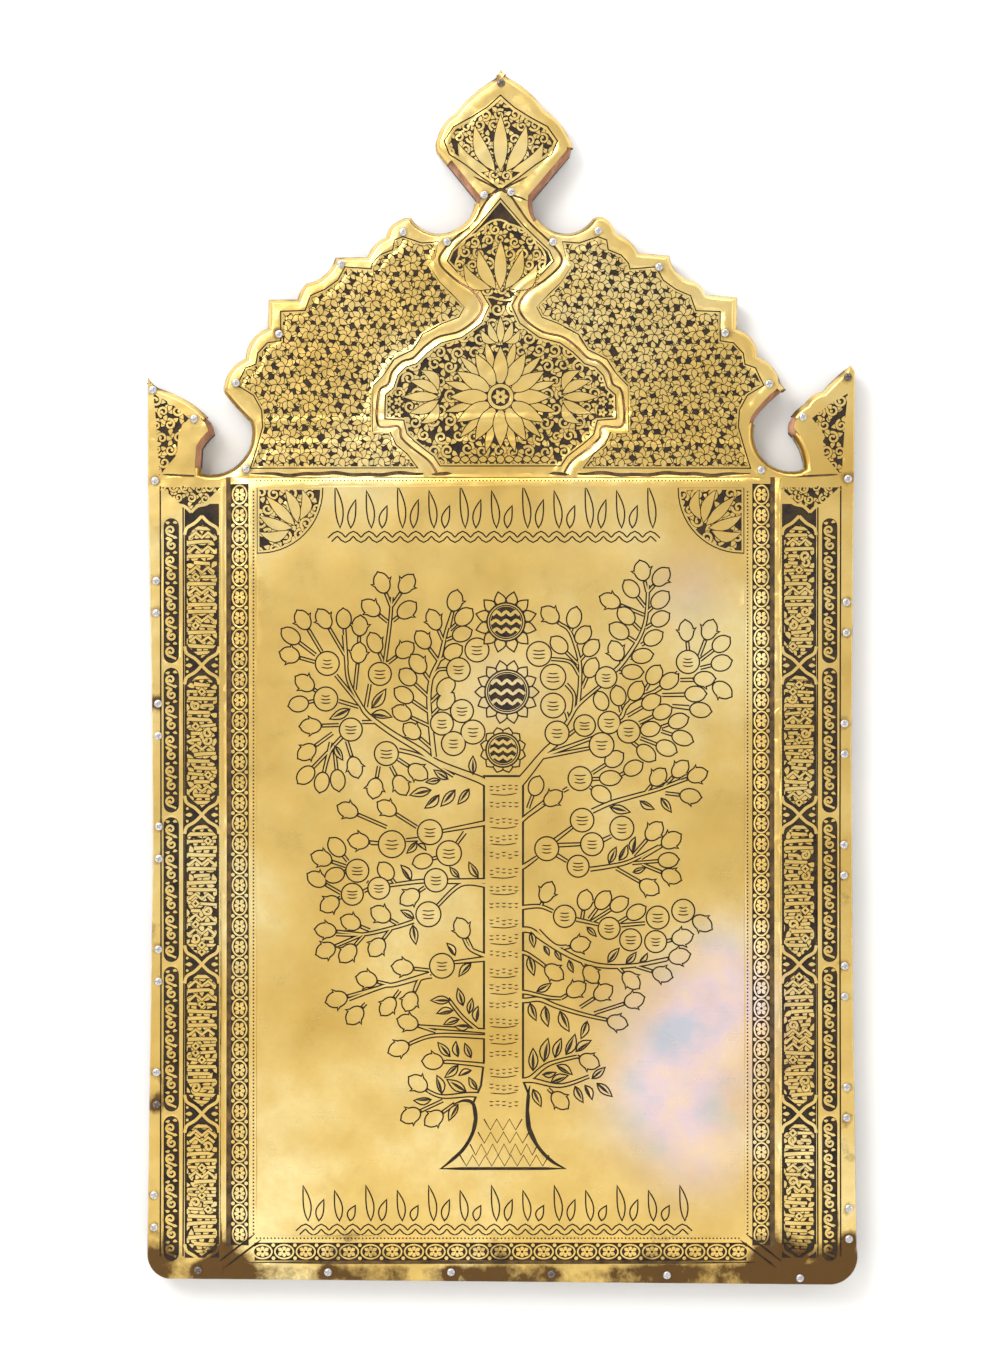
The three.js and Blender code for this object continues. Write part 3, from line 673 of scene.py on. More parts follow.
def bright_brass():
    material, tree, shader = new_material("polished_brass")
    n = Nodes(tree)
    patches = n.noise(9.0, 5.0, 0.55)
    clouds = n.noise(38.0, 6.0, 0.65)
    gold = n.ramp(patches, [(0.3, (0.66, 0.43, 0.11)), (0.5, (0.80, 0.57, 0.19)),
                            (0.68, (0.93, 0.76, 0.36))])
    gold = n.mix(n.range(clouds, 0.45, 0.7, 0.0, 0.45), gold, (0.62, 0.40, 0.10))
    # This attribute browns the brass: real tarnish spots, plus painted shade on the folded edge, in
    # the valley at the foot of the slope and along the bottom edge.
    tarnish_and_shade = n.attribute("tarnish_and_shade")
    edge = n.noise(55.0, 7.0, 0.7)
    brown = n.range(n.math("ADD", tarnish_and_shade, n.range(edge, 0.2, 0.8, -0.45, 0.45)), 0.35, 0.75)
    gold = n.mix(brown, gold, (0.13, 0.070, 0.025))
    blush = n.attribute("blush")
    tints = n.ramp(n.noise(26.0, 3.0, 0.5), [(0.32, (0.55, 0.62, 0.80)), (0.5, (0.82, 0.66, 0.78)),
                                             (0.66, (0.93, 0.72, 0.62))])
    gold = n.mix(n.range(blush, 0.0, 1.0, 0.0, 0.8), gold, tints)
    tree.links.new(gold, shader.inputs["Base Color"])
    shader.inputs["Metallic"].default_value = 1.0
    rough = n.range(clouds, 0.3, 0.7, 0.24, 0.4)
    tree.links.new(n.math("ADD", rough, n.math("MULTIPLY", brown, 0.2)),
                   shader.inputs["Roughness"])
    brushed = n.noise(60.0, 3.0, 0.5, n.stretch((1.0, 1.0, 22.0)))
    normal = n.bump(brushed, 0.12, 0.0004)
    normal = n.bump(n.noise(420.0, 3.0, 0.6), 0.10, 0.0003, normal)
    tree.links.new(normal, shader.inputs["Normal"])
    return material


def engraved_dark(name, low, high):
    material, tree, shader = new_material(name)
    n = Nodes(tree)
    colour = n.ramp(n.noise(140.0, 4.0, 0.6), [(0.35, low), (0.7, high)])
    tree.links.new(colour, shader.inputs["Base Color"])
    shader.inputs["Metallic"].default_value = 0.0
    shader.inputs["Specular IOR Level"].default_value = 0.25
    tree.links.new(n.range(n.noise(220.0), 0.3, 0.7, 0.5, 0.75), shader.inputs["Roughness"])
    tree.links.new(n.bump(n.noise(900.0, 3.0), 0.3, 0.0003), shader.inputs["Normal"])
    return material


BRASS_MATERIALS = [
    bright_brass(),
    engraved_dark("engraved_ground", (0.010, 0.006, 0.004), (0.045, 0.026, 0.010)),
    # Brown of the valleys, seams and the medallion's heavy line: partly patina in the hollows,
    # partly painted shade.
    engraved_dark("groove_patina_and_shade", (0.035, 0.020, 0.008), (0.16, 0.09, 0.028)),
]


# Tree of the field: what hangs on it and where its boughs run, in pixels of the photograph
FRUIT = [
    (327.5, 663.5, 12), (326, 699, 12), (380, 674, 11.5), (351, 729.5, 11.5), (386.5, 753.5, 12),
    (477, 650, 12), (458.5, 669.5, 11.8), (462, 711, 11.5), (442, 723.5, 11.5), (473, 732, 12),
    (453.5, 743.5, 12), (430, 832, 12.5), (392, 844, 13.5), (449, 853, 12.5), (357.5, 870.5, 11.5),
    (379, 888, 11), (436, 880, 11.7), (352.5, 894, 11), (428.5, 914, 12.5), (442, 965.5, 12.4),
    (539, 654, 12.4), (553, 677, 12.7), (553, 705.5, 12.4), (557, 733, 12), (584.5, 725.5, 10.8),
    (609, 722.5, 11.2), (628.5, 731.5, 11.5), (601.5, 745, 12.4), (606, 677.5, 10.8),
    (687.7, 662, 11.6), (580, 778.5, 12), (582, 820, 11.8), (621.7, 828, 12), (592, 844, 11.5),
    (546.7, 848.5, 12), (578, 866, 11), (564.6, 916, 11.2), (609, 928, 11), (657.5, 917.3, 11.5),
    (683, 910.5, 11.5), (630.5, 939.5, 11), (655.5, 941.3, 11),
]

# Buds: place, start of the stem, number of sepals
BUDS = [
    (382, 583, 391, 606, 2), (407, 584, 392, 606, 2), (371, 608, 388, 622, 2),
    (407, 610, 393, 621, 1), (303, 620, 322, 652, 2), (324, 619, 345, 655, 2),
    (344, 619, 347, 665, 0), (360, 626, 359, 645, 2), (359, 653, 355, 690, 2),
    (375, 643, 383, 661, 1), (291, 636, 316, 655, 0), (290, 655, 315, 662, 2),
    (405, 650, 388, 663, 2), (305, 683, 318, 692, 2), (299, 704, 314, 701, 0),
    (311, 726, 339, 725, 2), (307, 752, 333, 733, 2), (306, 775, 328, 752, 0),
    (322, 782, 331, 742, 0), (338, 780, 334, 745, 0), (355, 767, 347, 741, 2),
    (375, 788, 379, 766, 2), (401, 785, 391, 766, 2), (418, 772, 398, 759, 2),
    (455, 601, 449, 628, 1), (464, 617, 450, 630, 0), (434, 620, 443, 640, 2),
    (462, 634, 446, 640, 0), (423, 640, 438, 660, 1), (453, 652, 440, 660, 0),
    (418, 664, 431, 682, 1), (408, 677, 429, 697, 0), (446, 687, 431, 702, 0),
    (404, 695, 429, 712, 0), (446, 701, 432, 715, 0), (402, 713, 430, 726, 1),
    (412, 731, 434, 750, 2),
    (348, 810, 387, 827, 2), (387, 808, 417, 827, 2), (359, 841, 379, 843, 2),
    (337, 847, 348, 861, 0), (322, 858, 346, 866, 2), (335, 875, 346, 871, 0),
    (317, 879, 341, 893, 1), (330, 904, 341, 897, 2), (386, 871, 395, 883, 0),
    (423, 861, 438, 857, 0), (410, 897, 425, 887, 2), (381, 914, 398, 924, 2),
    (351, 922, 370, 930, 2), (326, 930, 362, 934, 2), (326, 950, 361, 935, 2),
    (348, 953, 364, 935, 2), (377, 947, 391, 929, 2), (462, 928, 472, 949, 2),
    (403, 967, 429, 970, 2), (367, 979, 393, 985, 2), (337, 999, 383, 986, 2),
    (355, 1015, 366, 1003, 2), (388, 1006, 400, 990, 2), (410, 1001, 420, 979, 2),
    (408, 1022, 436, 1031, 2), (399, 1048, 411, 1043, 2), (433, 1061, 459, 1062, 1),
    (418, 1083, 429, 1091, 2), (411, 1115, 443, 1100, 2), (434, 1118, 455, 1103, 2),
    (550, 615, 560, 624, 2), (574, 618, 571, 631, 0), (583, 635, 575, 645, 0),
    (591, 648, 578, 662, 0), (591, 668, 582, 688, 0), (559, 645, 578, 664, 0),
    (642, 571, 647, 592, 2), (661, 577, 648, 592, 1), (631, 589, 645, 607, 0),
    (610, 601, 644, 615, 2), (660, 600, 647, 612, 0), (626, 616, 640, 630, 0),
    (660, 619, 645, 628, 0), (619, 631, 637, 643, 0), (653, 638, 641, 645, 0),
    (616, 651, 622, 664, 2), (642, 656, 630, 658, 0), (632, 672, 619, 672, 0),
    (654, 675, 645, 690, 0), (669, 681, 656, 690, 0), (636, 691, 626, 708, 0),
    (651, 702, 627, 716, 0), (662, 712, 639, 723, 0), (678, 721, 661, 727, 0),
    (682, 738, 661, 731, 0), (650, 729, 640, 731, 0), (666, 748, 640, 738, 0),
    (646, 753, 632, 742, 0), (686, 631, 688, 651, 2), (709, 630, 699, 656, 2),
    (721, 644, 700, 660, 0), (721, 663, 700, 668, 0), (704, 679, 680, 680, 1),
    (722, 690, 712, 683, 1), (695, 694, 662, 695, 0), (700, 710, 672, 706, 0),
    (601, 701, 605, 711, 0), (618, 696, 621, 712, 0), (614, 759, 592, 773, 0),
    (633, 768, 620, 775, 0), (610, 778, 592, 779, 0), (601, 794, 590, 787, 0),
    (536, 786, 528, 808, 0), (553, 798, 523, 819, 2), (658, 777, 645, 793, 2),
    (680, 769, 662, 788, 2), (697, 775, 672, 784, 2), (690, 796, 665, 793, 1),
    (654, 831, 633, 855, 2), (671, 840, 641, 858, 2), (668, 860, 632, 863, 0),
    (671, 876, 642, 864, 2), (649, 887, 616, 868, 2), (547, 892, 541, 905, 2),
    (585, 900, 582, 918, 1), (603, 900, 589, 919, 0), (619, 904, 592, 921, 0),
    (636, 912, 619, 922, 0), (702, 923, 694, 918, 2), (682, 937, 666, 941, 2),
    (679, 956, 650, 962, 2), (580, 944, 563, 948, 2), (554, 972, 533, 957, 2),
    (591, 974, 580, 959, 2), (576, 989, 561, 998, 2), (603, 992, 580, 1007, 2),
    (631, 980, 618, 967, 2), (662, 974, 636, 966, 2), (634, 1000, 594, 1013, 2),
    (617, 1022, 605, 1019, 2), (589, 1061, 577, 1056, 2), (560, 1100, 548, 1088, 2),
]

# Boughs: half width at the start, then the points of the route
BOUGHS = [
    (3.6, (489, 786), (481, 780), (438, 763), (420, 750), (392, 733), (369, 716), (362, 707)),
    (1.6, (362, 707), (336, 675)), (1.6, (362, 707), (349, 682), (346, 658), (344, 635)),
    (1.6, (366, 707), (370, 684)), (1.6, (385, 662), (390, 624), (392, 597)),
    (1.6, (339, 701), (359, 707)), (1.6, (374, 722), (362, 722)),
    (1.6, (344, 735), (331, 750), (325, 768)), (1.8, (399, 750), (423, 757), (454, 776)),
    (2.6, (434, 757), (431, 728), (429, 698), (432, 676), (440, 658), (446, 633), (452, 614)),
    (1.5, (432, 678), (438, 670), (447, 669)), (2.6, (490, 822), (442, 831)),
    (1.8, (465, 832), (457, 843)), (2.8, (490, 881), (448, 881), (422, 881), (390, 885)),
    (2.2, (490, 886), (462, 884), (438, 905)), (1.6, (370, 881), (368, 884)),
    (1.6, (370, 888), (364, 891)), (1.8, (418, 839), (406, 840)), (1.6, (379, 843), (371, 843)),
    (1.8, (414, 921), (395, 927), (364, 934), (336, 934)),
    (2.4, (490, 957), (471, 949), (464, 938)), (2.6, (490, 958), (454, 962)),
    (2.4, (430, 974), (396, 984), (383, 986), (349, 999)),
    (1.6, (432, 976), (420, 979), (415, 989)), (2.2, (490, 1031), (478, 1030), (421, 1026)),
    (2.2, (490, 1037), (478, 1036), (435, 1035), (410, 1043)),
    (1.8, (478, 1030), (462, 1016), (448, 998)), (2.2, (490, 1066), (478, 1064), (446, 1061)),
    (2.6, (488, 1096), (471, 1094), (443, 1096), (429, 1091)),
    (5.0, (508, 790), (520, 782), (543, 754), (552, 745)), (2.4, (543, 754), (575, 730)),
    (2.0, (543, 756), (600, 735)), (1.8, (543, 757), (590, 748)),
    (2.2, (552, 745), (568, 721), (578, 705), (600, 686)),
    (1.6, (566, 684), (574, 695), (573, 711)), (1.5, (566, 712), (568, 719)),
    (1.8, (578, 705), (580, 681), (579, 659), (570, 632), (560, 624)),
    (1.5, (551, 659), (570, 662), (579, 675)),
    (2.0, (606, 677), (618, 668), (629, 654), (640, 636), (646, 617), (648, 585)),
    (2.0, (609, 722), (621, 717), (629, 703), (659, 689), (678, 672)),
    (1.5, (680, 680), (694, 680)), (1.5, (662, 695), (684, 695)), (1.5, (672, 706), (689, 707)),
    (1.6, (568, 788), (563, 791)), (2.2, (518, 824), (523, 819), (545, 801)),
    (2.6, (518, 868), (524, 866), (537, 857)), (2.0, (555, 840), (572, 827)),
    (1.8, (558, 845), (581, 844)), (1.8, (557, 855), (567, 861)), (1.8, (603, 840), (611, 836)),
    (2.2, (592, 811), (610, 803), (630, 797), (648, 792), (661, 788), (681, 780)),
    (2.0, (590, 869), (610, 866), (630, 861), (659, 846)),
    (2.2, (518, 908), (524, 907), (540, 906), (553, 911)), (1.8, (576, 919), (598, 924)),
    (1.6, (621, 925), (645, 923)),
    (2.8, (518, 930), (530, 930), (545, 940), (564, 952), (586, 962), (608, 966), (635, 965),
     (667, 959)),
    (1.8, (538, 930), (548, 940), (557, 946), (567, 946)),
    (2.0, (518, 952), (526, 953), (540, 962), (546, 967)),
    (2.0, (518, 992), (526, 992), (548, 997), (561, 998)),
    (2.4, (518, 1000), (526, 1000), (540, 999), (557, 1006), (583, 1014), (605, 1019)),
    (2.4, (518, 1080), (530, 1078), (548, 1064), (577, 1056)),
    (2.4, (518, 1080), (533, 1080), (561, 1085), (589, 1076)),
]

# Dark leaves along the boughs: base and tip
LEAVES = [
    (372, 708, 386, 689), (372, 714, 392, 717), (350, 709, 330, 719), (335, 746, 343, 760),
    (473, 774, 473, 756), (448, 779, 434, 770), (440, 780, 426, 782), (431, 790, 410, 795),
    (439, 795, 425, 808), (455, 790, 441, 806), (469, 789, 458, 804), (417, 842, 407, 853),
    (418, 844, 426, 850), (411, 880, 401, 865), (459, 877, 450, 867), (478, 877, 469, 862),
    (414, 918, 401, 910), (413, 925, 416, 944), (455, 955, 447, 943), (471, 963, 459, 976),
    (450, 1000, 431, 1000), (453, 1010, 437, 1013), (459, 1019, 444, 1024),
    (469, 1026, 455, 1026), (463, 1005, 458, 988), (469, 1013, 472, 998),
    (476, 1021, 478, 1006), (450, 1056, 438, 1042), (458, 1056, 456, 1041),
    (471, 1057, 465, 1043), (458, 1065, 445, 1077), (471, 1070, 459, 1075),
    (466, 1091, 447, 1079), (477, 1089, 469, 1077), (442, 1093, 437, 1075),
    (431, 1099, 414, 1100), (458, 1104, 449, 1120),
    (610, 807, 630, 812), (640, 801, 654, 809), (661, 798, 671, 812), (609, 863, 616, 847),
    (619, 860, 627, 845), (632, 852, 635, 837), (633, 872, 645, 868), (587, 927, 596, 936),
    (531, 932, 534, 947), (529, 956, 534, 975), (537, 991, 551, 983), (544, 946, 549, 955),
    (555, 950, 561, 960), (569, 960, 573, 972), (608, 962, 619, 948), (626, 963, 636, 952),
    (640, 961, 647, 953), (530, 1003, 536, 1020), (545, 1006, 548, 1026),
    (560, 1011, 569, 1031), (587, 1021, 581, 1038), (533, 1070, 533, 1048),
    (544, 1061, 548, 1038), (555, 1057, 561, 1038), (566, 1054, 575, 1034),
    (576, 1051, 591, 1040), (557, 1065, 572, 1074), (543, 1074, 556, 1072),
    (551, 1082, 568, 1075), (592, 1078, 605, 1067), (597, 1083, 612, 1096),
    (585, 1085, 592, 1099), (575, 1086, 583, 1102), (533, 1089, 541, 1106),
]

# Medallions on the tree's axis: centre, radius of the ring, radius of the petals, their number
AXIS_MEDALLIONS = [(506, 622, 19, 31, 12), (507, 692, 22, 32, 14), (503, 750, 17, 23, 12)]
TRUNK = [(484, 776), (484, 1060), (481, 1085), (473, 1103), (475, 1118), (472, 1134),
         (463, 1149), (450, 1161), (441, 1168), (565, 1168), (551, 1160), (538, 1146),
         (530, 1127), (528, 1110), (529, 1095), (523, 1080), (523, 776)]
TRUNK_ROWS = (788, 1103, 20)
TRUNK_STROKES_X = (488, 519)
SCALE_ROWS = [(1124, 484, 522), (1137, 478, 529), (1149, 470, 538), (1160, 460, 549)]


def small_strokes(r, rng, centre, reach, count, layer, width=0.8, turn=0.0):
    """Short shallow strokes, one above another and never crossing, so none makes a letter."""
    for i in range(count):
        level = reach[1] * (2 * (i + 0.5) / count - 1) * 0.8
        length = reach[0] * rng.uniform(0.55, 0.8)
        bow = reach[1] * rng.uniform(-0.18, -0.08)
        path = []
        for a, b in [(-length, level), (0, level + bow), (length, level)]:
            path.append((centre[0] + a * math.cos(turn) - b * math.sin(turn),
                         centre[1] + a * math.sin(turn) + b * math.cos(turn)))
        r.groove(smooth(path, 1.6), layer, width)


def draw_bud(r, rng, px, py, sx, sy, sepals, layer):
    centre, stem = spot(px, py), spot(sx, sy)
    angle = math.atan2(centre[1] - stem[1], centre[0] - stem[0])
    long_half, short_half = rng.uniform(7.2, 7.9), rng.uniform(5.4, 6.0)
    base = toward(centre, angle + math.pi, long_half * 0.85)
    loop = circle(centre, long_half, 24, short_half / long_half, angle)
    loop[0] = toward(centre, angle, long_half * 1.12)
    r.groove_ring(loop, layer)
    for hand in (-1, 1)[:sepals]:
        tip = toward(toward(centre, angle + hand * math.pi / 2, short_half * 1.35),
                     angle, long_half * 0.2)
        leaf = leaf_loop(toward(base, angle + math.pi, 1.6), tip, 4.0, -hand * 1.8)
        r.groove_ring(leaf, layer + 0.002)
    small_strokes(r, rng, centre, (short_half * 0.8, short_half * 0.8), 2, layer + 0.005, 0.95,
                  rng.uniform(-0.5, 0.5))


def draw_tree(r):
    rng = random.Random(11)
    network = (1.0, 1.5)
    trunk = spots(TRUNK)
    loop = trunk if area(trunk) > 0 else trunk[::-1]
    r.face(inset(loop, lambda _: -LINE * 0.75), DARK, network[0])
    r.face(inset(loop, lambda _: LINE * 0.75), BRIGHT, network[1])
    r.face(loop)
    for width, *route in BOUGHS:
        path = smooth(spots(route), 2.2)
        start, end = width * PIXEL, max(1.05, width * 0.55 * PIXEL)
        r.outlined(path, lambda t: start + (end - start) * t, network)
    for px, py, sx, sy, _ in BUDS:
        r.outlined([spot(sx, sy), spot(px, py)], 1.05, network)
    top, bottom, count = TRUNK_ROWS
    for i in range(count):
        py = top + (bottom - top) * i / (count - 1)
        for k in range(5):
            px = TRUNK_STROKES_X[0] + 3.5 + 6.2 * k
            small_strokes(r, rng, spot(px, py + rng.uniform(-1.5, 1.5)), (2.4, 3.4), 2, 2.0, 1.0)
        if i % 3 != 1:
            r.groove(smooth(spots([(490, py + 6), (505, py + 7), (517, py + 5)]), 2.0), 2.0, 0.8)
    for level, left, right in SCALE_ROWS:
        teeth = max(2, round((right - left) / 12))
        points = []
        for i in range(2 * teeth + 1):
            x = left + (right - left) * i / (2 * teeth)
            points.append((x, level + (5.5 if i % 2 else -5.5)))
        r.groove(spots(points), 2.0, 1.0, taper=False)
    r.groove(smooth(spots([(441, 1168), (565, 1168)])), 2.1, 2.2)
    r.groove(smooth(spots([(453, 1104), (464, 1100), (473, 1103), (476, 1118), (472, 1134),
                           (463, 1149), (450, 1161), (441, 1168)])), 2.1, 2.6)
    r.groove(smooth(spots([(530, 1085), (528, 1097), (528, 1126), (538, 1146), (551, 1160),
                           (565, 1168)])), 2.1, 2.6)
    for x0, y0, x1, y1 in LEAVES:
        base, tip = spot(x0, y0), spot(x1, y1)
        width = 0.42 * math.dist(base, tip)
        leaf = leaf_loop(base, tip, width, rng.uniform(-1, 1) * 1.2)
        r.groove_ring(leaf, 3.0)
        inner = leaf_loop(base, toward(base, math.atan2(tip[1] - base[1], tip[0] - base[0]),
                                       math.dist(base, tip) * 0.85), width * 0.35)
        r.face(inner, DARK, 3.3)
    for i, bud in enumerate(BUDS):
        draw_bud(r, rng, *bud, 4.0 + 0.01 * i)
    for i, (px, py, radius) in enumerate(FRUIT):
        centre = spot(px, py)
        r.groove_ring(circle(centre, radius * PIXEL, 24), 6.0 + 0.01 * i)
        small_strokes(r, rng, centre, (radius * 0.5, radius * 0.42), 3, 7.5, 0.9)
    for px, py, ring, petals, count in AXIS_MEDALLIONS:
        draw_medallion(r, rng, spot(px, py), ring * PIXEL, petals * PIXEL, count)


def draw_medallion(r, rng, centre, ring, reach, count):
    for i in range(count):
        angle = 2 * math.pi * (i + 0.5) / count + math.pi / 2
        base = toward(centre, angle, ring * 0.9)
        petal = leaf_loop(base, toward(centre, angle, reach), 2 * math.pi * ring / count * 1.15,
                          0, 6, 0.7)
        r.groove_ring(petal, 8.0 + 0.01 * i)
    r.groove_ring(circle(centre, ring, 36), 8.5, 1.3)
    r.groove_ring(circle(centre, ring - 1.8, 32), 8.6, 0.9)
    ground = r.face(circle(centre, ring - 2.6, 32), None)
    r.face(circle(centre, ring - 2.6, 32), DARK, 8.7)
    for level in (-0.45, 0.0, 0.45):
        half = ring * (0.8 - 0.4 * level * level)
        path = []
        for k in range(7):
            swing = 0.09 if k % 2 else -0.09
            path.append((centre[0] + half * (k / 3 - 1), centre[1] + ring * (level + swing)))
        r.ribbon(smooth(path, 1.6), 1.2, 8.8, ground)


# Rows of outlined strokes above and below the tree: left, right, top, bottom, count
STROKE_ROWS = [(330, 658, 486, 543, 21), (298, 690, 1185, 1235, 25)]
STROKE_DROPS = (0, 14, 5, 20)


def draw_stroke_row(r, left, right, top, bottom, count):
    """Separate blades of four heights over a running wave, none of them a letter."""
    pitch = (right - left) / count
    base = bottom - 15
    for i in range(count):
        x = left + pitch * (i + 0.5)
        lean = 2.5 if i % 2 else -2.5
        tip = spot(x + lean, top + STROKE_DROPS[i % len(STROKE_DROPS)])
        blade = leaf_loop(spot(x - lean, base), tip, 5.6, lean * 0.4, 7, 0.8)
        r.groove_ring(blade, 0.5 + 0.01 * i)
    wave = []
    for i in range(2 * count + 1):
        wave.append((left + pitch * i / 2, bottom - (9 if i % 2 else 3)))
    r.outlined(smooth(spots(wave), 2.4), 1.9, (0.2, 0.4))


def curl(centre, radius, hand, start, turns=1.35, tight=0.22):
    """A spiral from its outer end inwards."""
    points = []
    count = max(8, round(turns * 12))
    for i in range(count + 1):
        t = i / count
        reach = radius * (1 - (1 - tight) * t ** 0.85)
        points.append(toward(centre, start + hand * 2 * math.pi * turns * t, reach))
    return points


def fill_places(box, pitch):
    """Places in staggered rows over a box of left, bottom, right and top."""
    x0, z0, x1, z1 = box
    places = []
    row = 0
    z = z0
    while z < z1:
        x = x0 + (pitch / 2 if row % 2 else 0)
        while x < x1:
            places.append((x, z))
            x += pitch
        z += pitch * 0.87
        row += 1
    return places


def scroll_fill(r, mask, box, pitch, half, seed, layer, line=0.4):
    """Curls with small leaves, set close together over a box and kept inside a mask."""
    rng = random.Random(seed)
    for x, z in fill_places(box, pitch):
        centre = (x + rng.uniform(-0.12, 0.12) * pitch, z + rng.uniform(-0.12, 0.12) * pitch)
        hand = 1 if rng.random() < 0.5 else -1
        start = rng.uniform(0, 2 * math.pi)
        radius = pitch * rng.uniform(0.38, 0.44)
        for k in range(3):
            angle = start + 2 * math.pi * (k + 0.5) / 3
            root = toward(centre, angle, radius * 0.8)
            tip = toward(root, angle + hand * 0.8, pitch * rng.uniform(0.38, 0.5))
            r.lapped(leaf_loop(root, tip, pitch * 0.3, hand * 0.9, 4), layer, mask, line)
        spiral = curl(centre, radius, hand, start, 1.15, 0.3)
        r.lapped_stroke(spiral, lambda t: half * (1 - 0.4 * t), layer, mask, line)
        r.island(circle(spiral[-1], half * 1.2, 7), layer, mask, 0)


def leaf_fill(r, mask, box, pitch, seed, layer, line=0.4):
    """Single small leaves turned every way, close together inside a mask."""
    rng = random.Random(seed)
    for place in fill_places(box, pitch):
        angle = rng.uniform(0, 2 * math.pi)
        bend = rng.choice((-1, 1)) * pitch * 0.12
        leaf = leaf_loop(toward(place, angle + math.pi, pitch * 0.55),
                         toward(place, angle, pitch * 0.55), pitch * 0.62, bend, 4)
        r.lapped(leaf, layer, mask, line)


def draw_fan(r, mask, root, reach, width, layer, heading=math.pi / 2):
    """Five pointed leaves spread from one root, the middle one longest."""
    for k in (-2, 2, -1, 1, 0):
        start = toward(root, heading - math.pi / 2, k * 0.1 * reach)
        tip = toward(start, heading - 0.42 * k, reach * (1 - 0.13 * abs(k)))
        r.lapped(leaf_loop(start, tip, width, -k * 0.07 * reach, 6), layer, mask, 0.6)


def draw_corner(r, side):
    reach = 45.0
    corner = (side * (FIELD_HALF - 2.0), FIELD_HIGH - 1.5)
    loop = [corner]
    for i in range(15):
        angle = math.pi / 2 * i / 14
        loop.append((corner[0] - side * reach * math.cos(angle),
                     corner[1] - reach * math.sin(angle)))
    r.groove_ring(inset(loop if area(loop) > 0 else loop[::-1], lambda _: -1.8), 0.0, 0.9)
    mask = r.face(loop)
    r.face(loop, DARK, 0.2)
    box = (min(corner[0], corner[0] - side * reach), corner[1] - reach,
           max(corner[0], corner[0] - side * reach), corner[1])
    scroll_fill(r, mask, box, 12.0, 1.1, 40 + side, 0.5)
    root = (corner[0] - side * reach * 0.58, corner[1] - reach * 0.58)
    draw_fan(r, mask, root, reach * 0.66, 7.5, 0.7, math.atan2(1, side))


def field_piece():
    rect = [(-FIELD_HALF, FIELD_LOW), (FIELD_HALF, FIELD_LOW), (FIELD_HALF, FIELD_HIGH),
            (-FIELD_HALF, FIELD_HIGH)]
    r = Relief([rect])
    draw_tree(r)
    for row in STROKE_ROWS:
        draw_stroke_row(r, *row)
    for side in (-1, 1):
        draw_corner(r, side)
    piece = r.build("engraved_field", face_height, 5.0, 1)
    return finish_piece(piece, "brass", "brass_sheet")


# Slope with roundels, valley and bead
ROUNDEL = {"across": 5.9, "along": 7.5, "line": 193.0, "pitch": 15.2, "top": 134.5, "rows": 37}
BOTTOM_ROUNDEL = {"level": -425.4, "pitch": 16.0, "each_side": 11}
DOTTED = {"line": 182.6, "pitch": 2.7, "radius": 0.75}


def oval(centre, across, along, turn, count):
    return circle(centre, along, count, across / along, turn)


def draw_roundel(r, centre, along):
    """A ring with a flower of six fat petals, where along is the row's direction."""
    across_half, along_half = ROUNDEL["across"], ROUNDEL["along"]
    r.island(oval(centre, across_half, along_half, along, 26), 1.0, skirt=0.25)
    r.face(oval(centre, across_half - 1.15, along_half - 1.15, along, 22), DARK, 1.2)
    for k in range(6):
        angle = along + math.pi / 6 + 2 * math.pi * k / 6
        reach = 4.2 + 1.2 * abs(math.cos(angle - along))
        petal = leaf_loop(toward(centre, angle, 0.9), toward(centre, angle, reach), 3.0, 0, 5, 1.3)
        r.island(petal, 1.4, skirt=0.2)
    r.island(circle(centre, 2.1, 10), 1.5, skirt=0)
    r.face(circle(centre, 1.05, 8), DARK, 1.6)


def draw_roundel_row(r, places, along, reach):
    for centre in places:
        draw_roundel(r, centre, along)
    for a, b in zip(places, places[1:]):
        middle = ((a[0] + b[0]) / 2, (a[1] + b[1]) / 2)
        for hand in (-1, 1):
            spot_at = toward(middle, along + math.pi / 2, hand * reach)
            r.island(circle(spot_at, 1.5, 6, turn=along), 1.0, skirt=0.2)


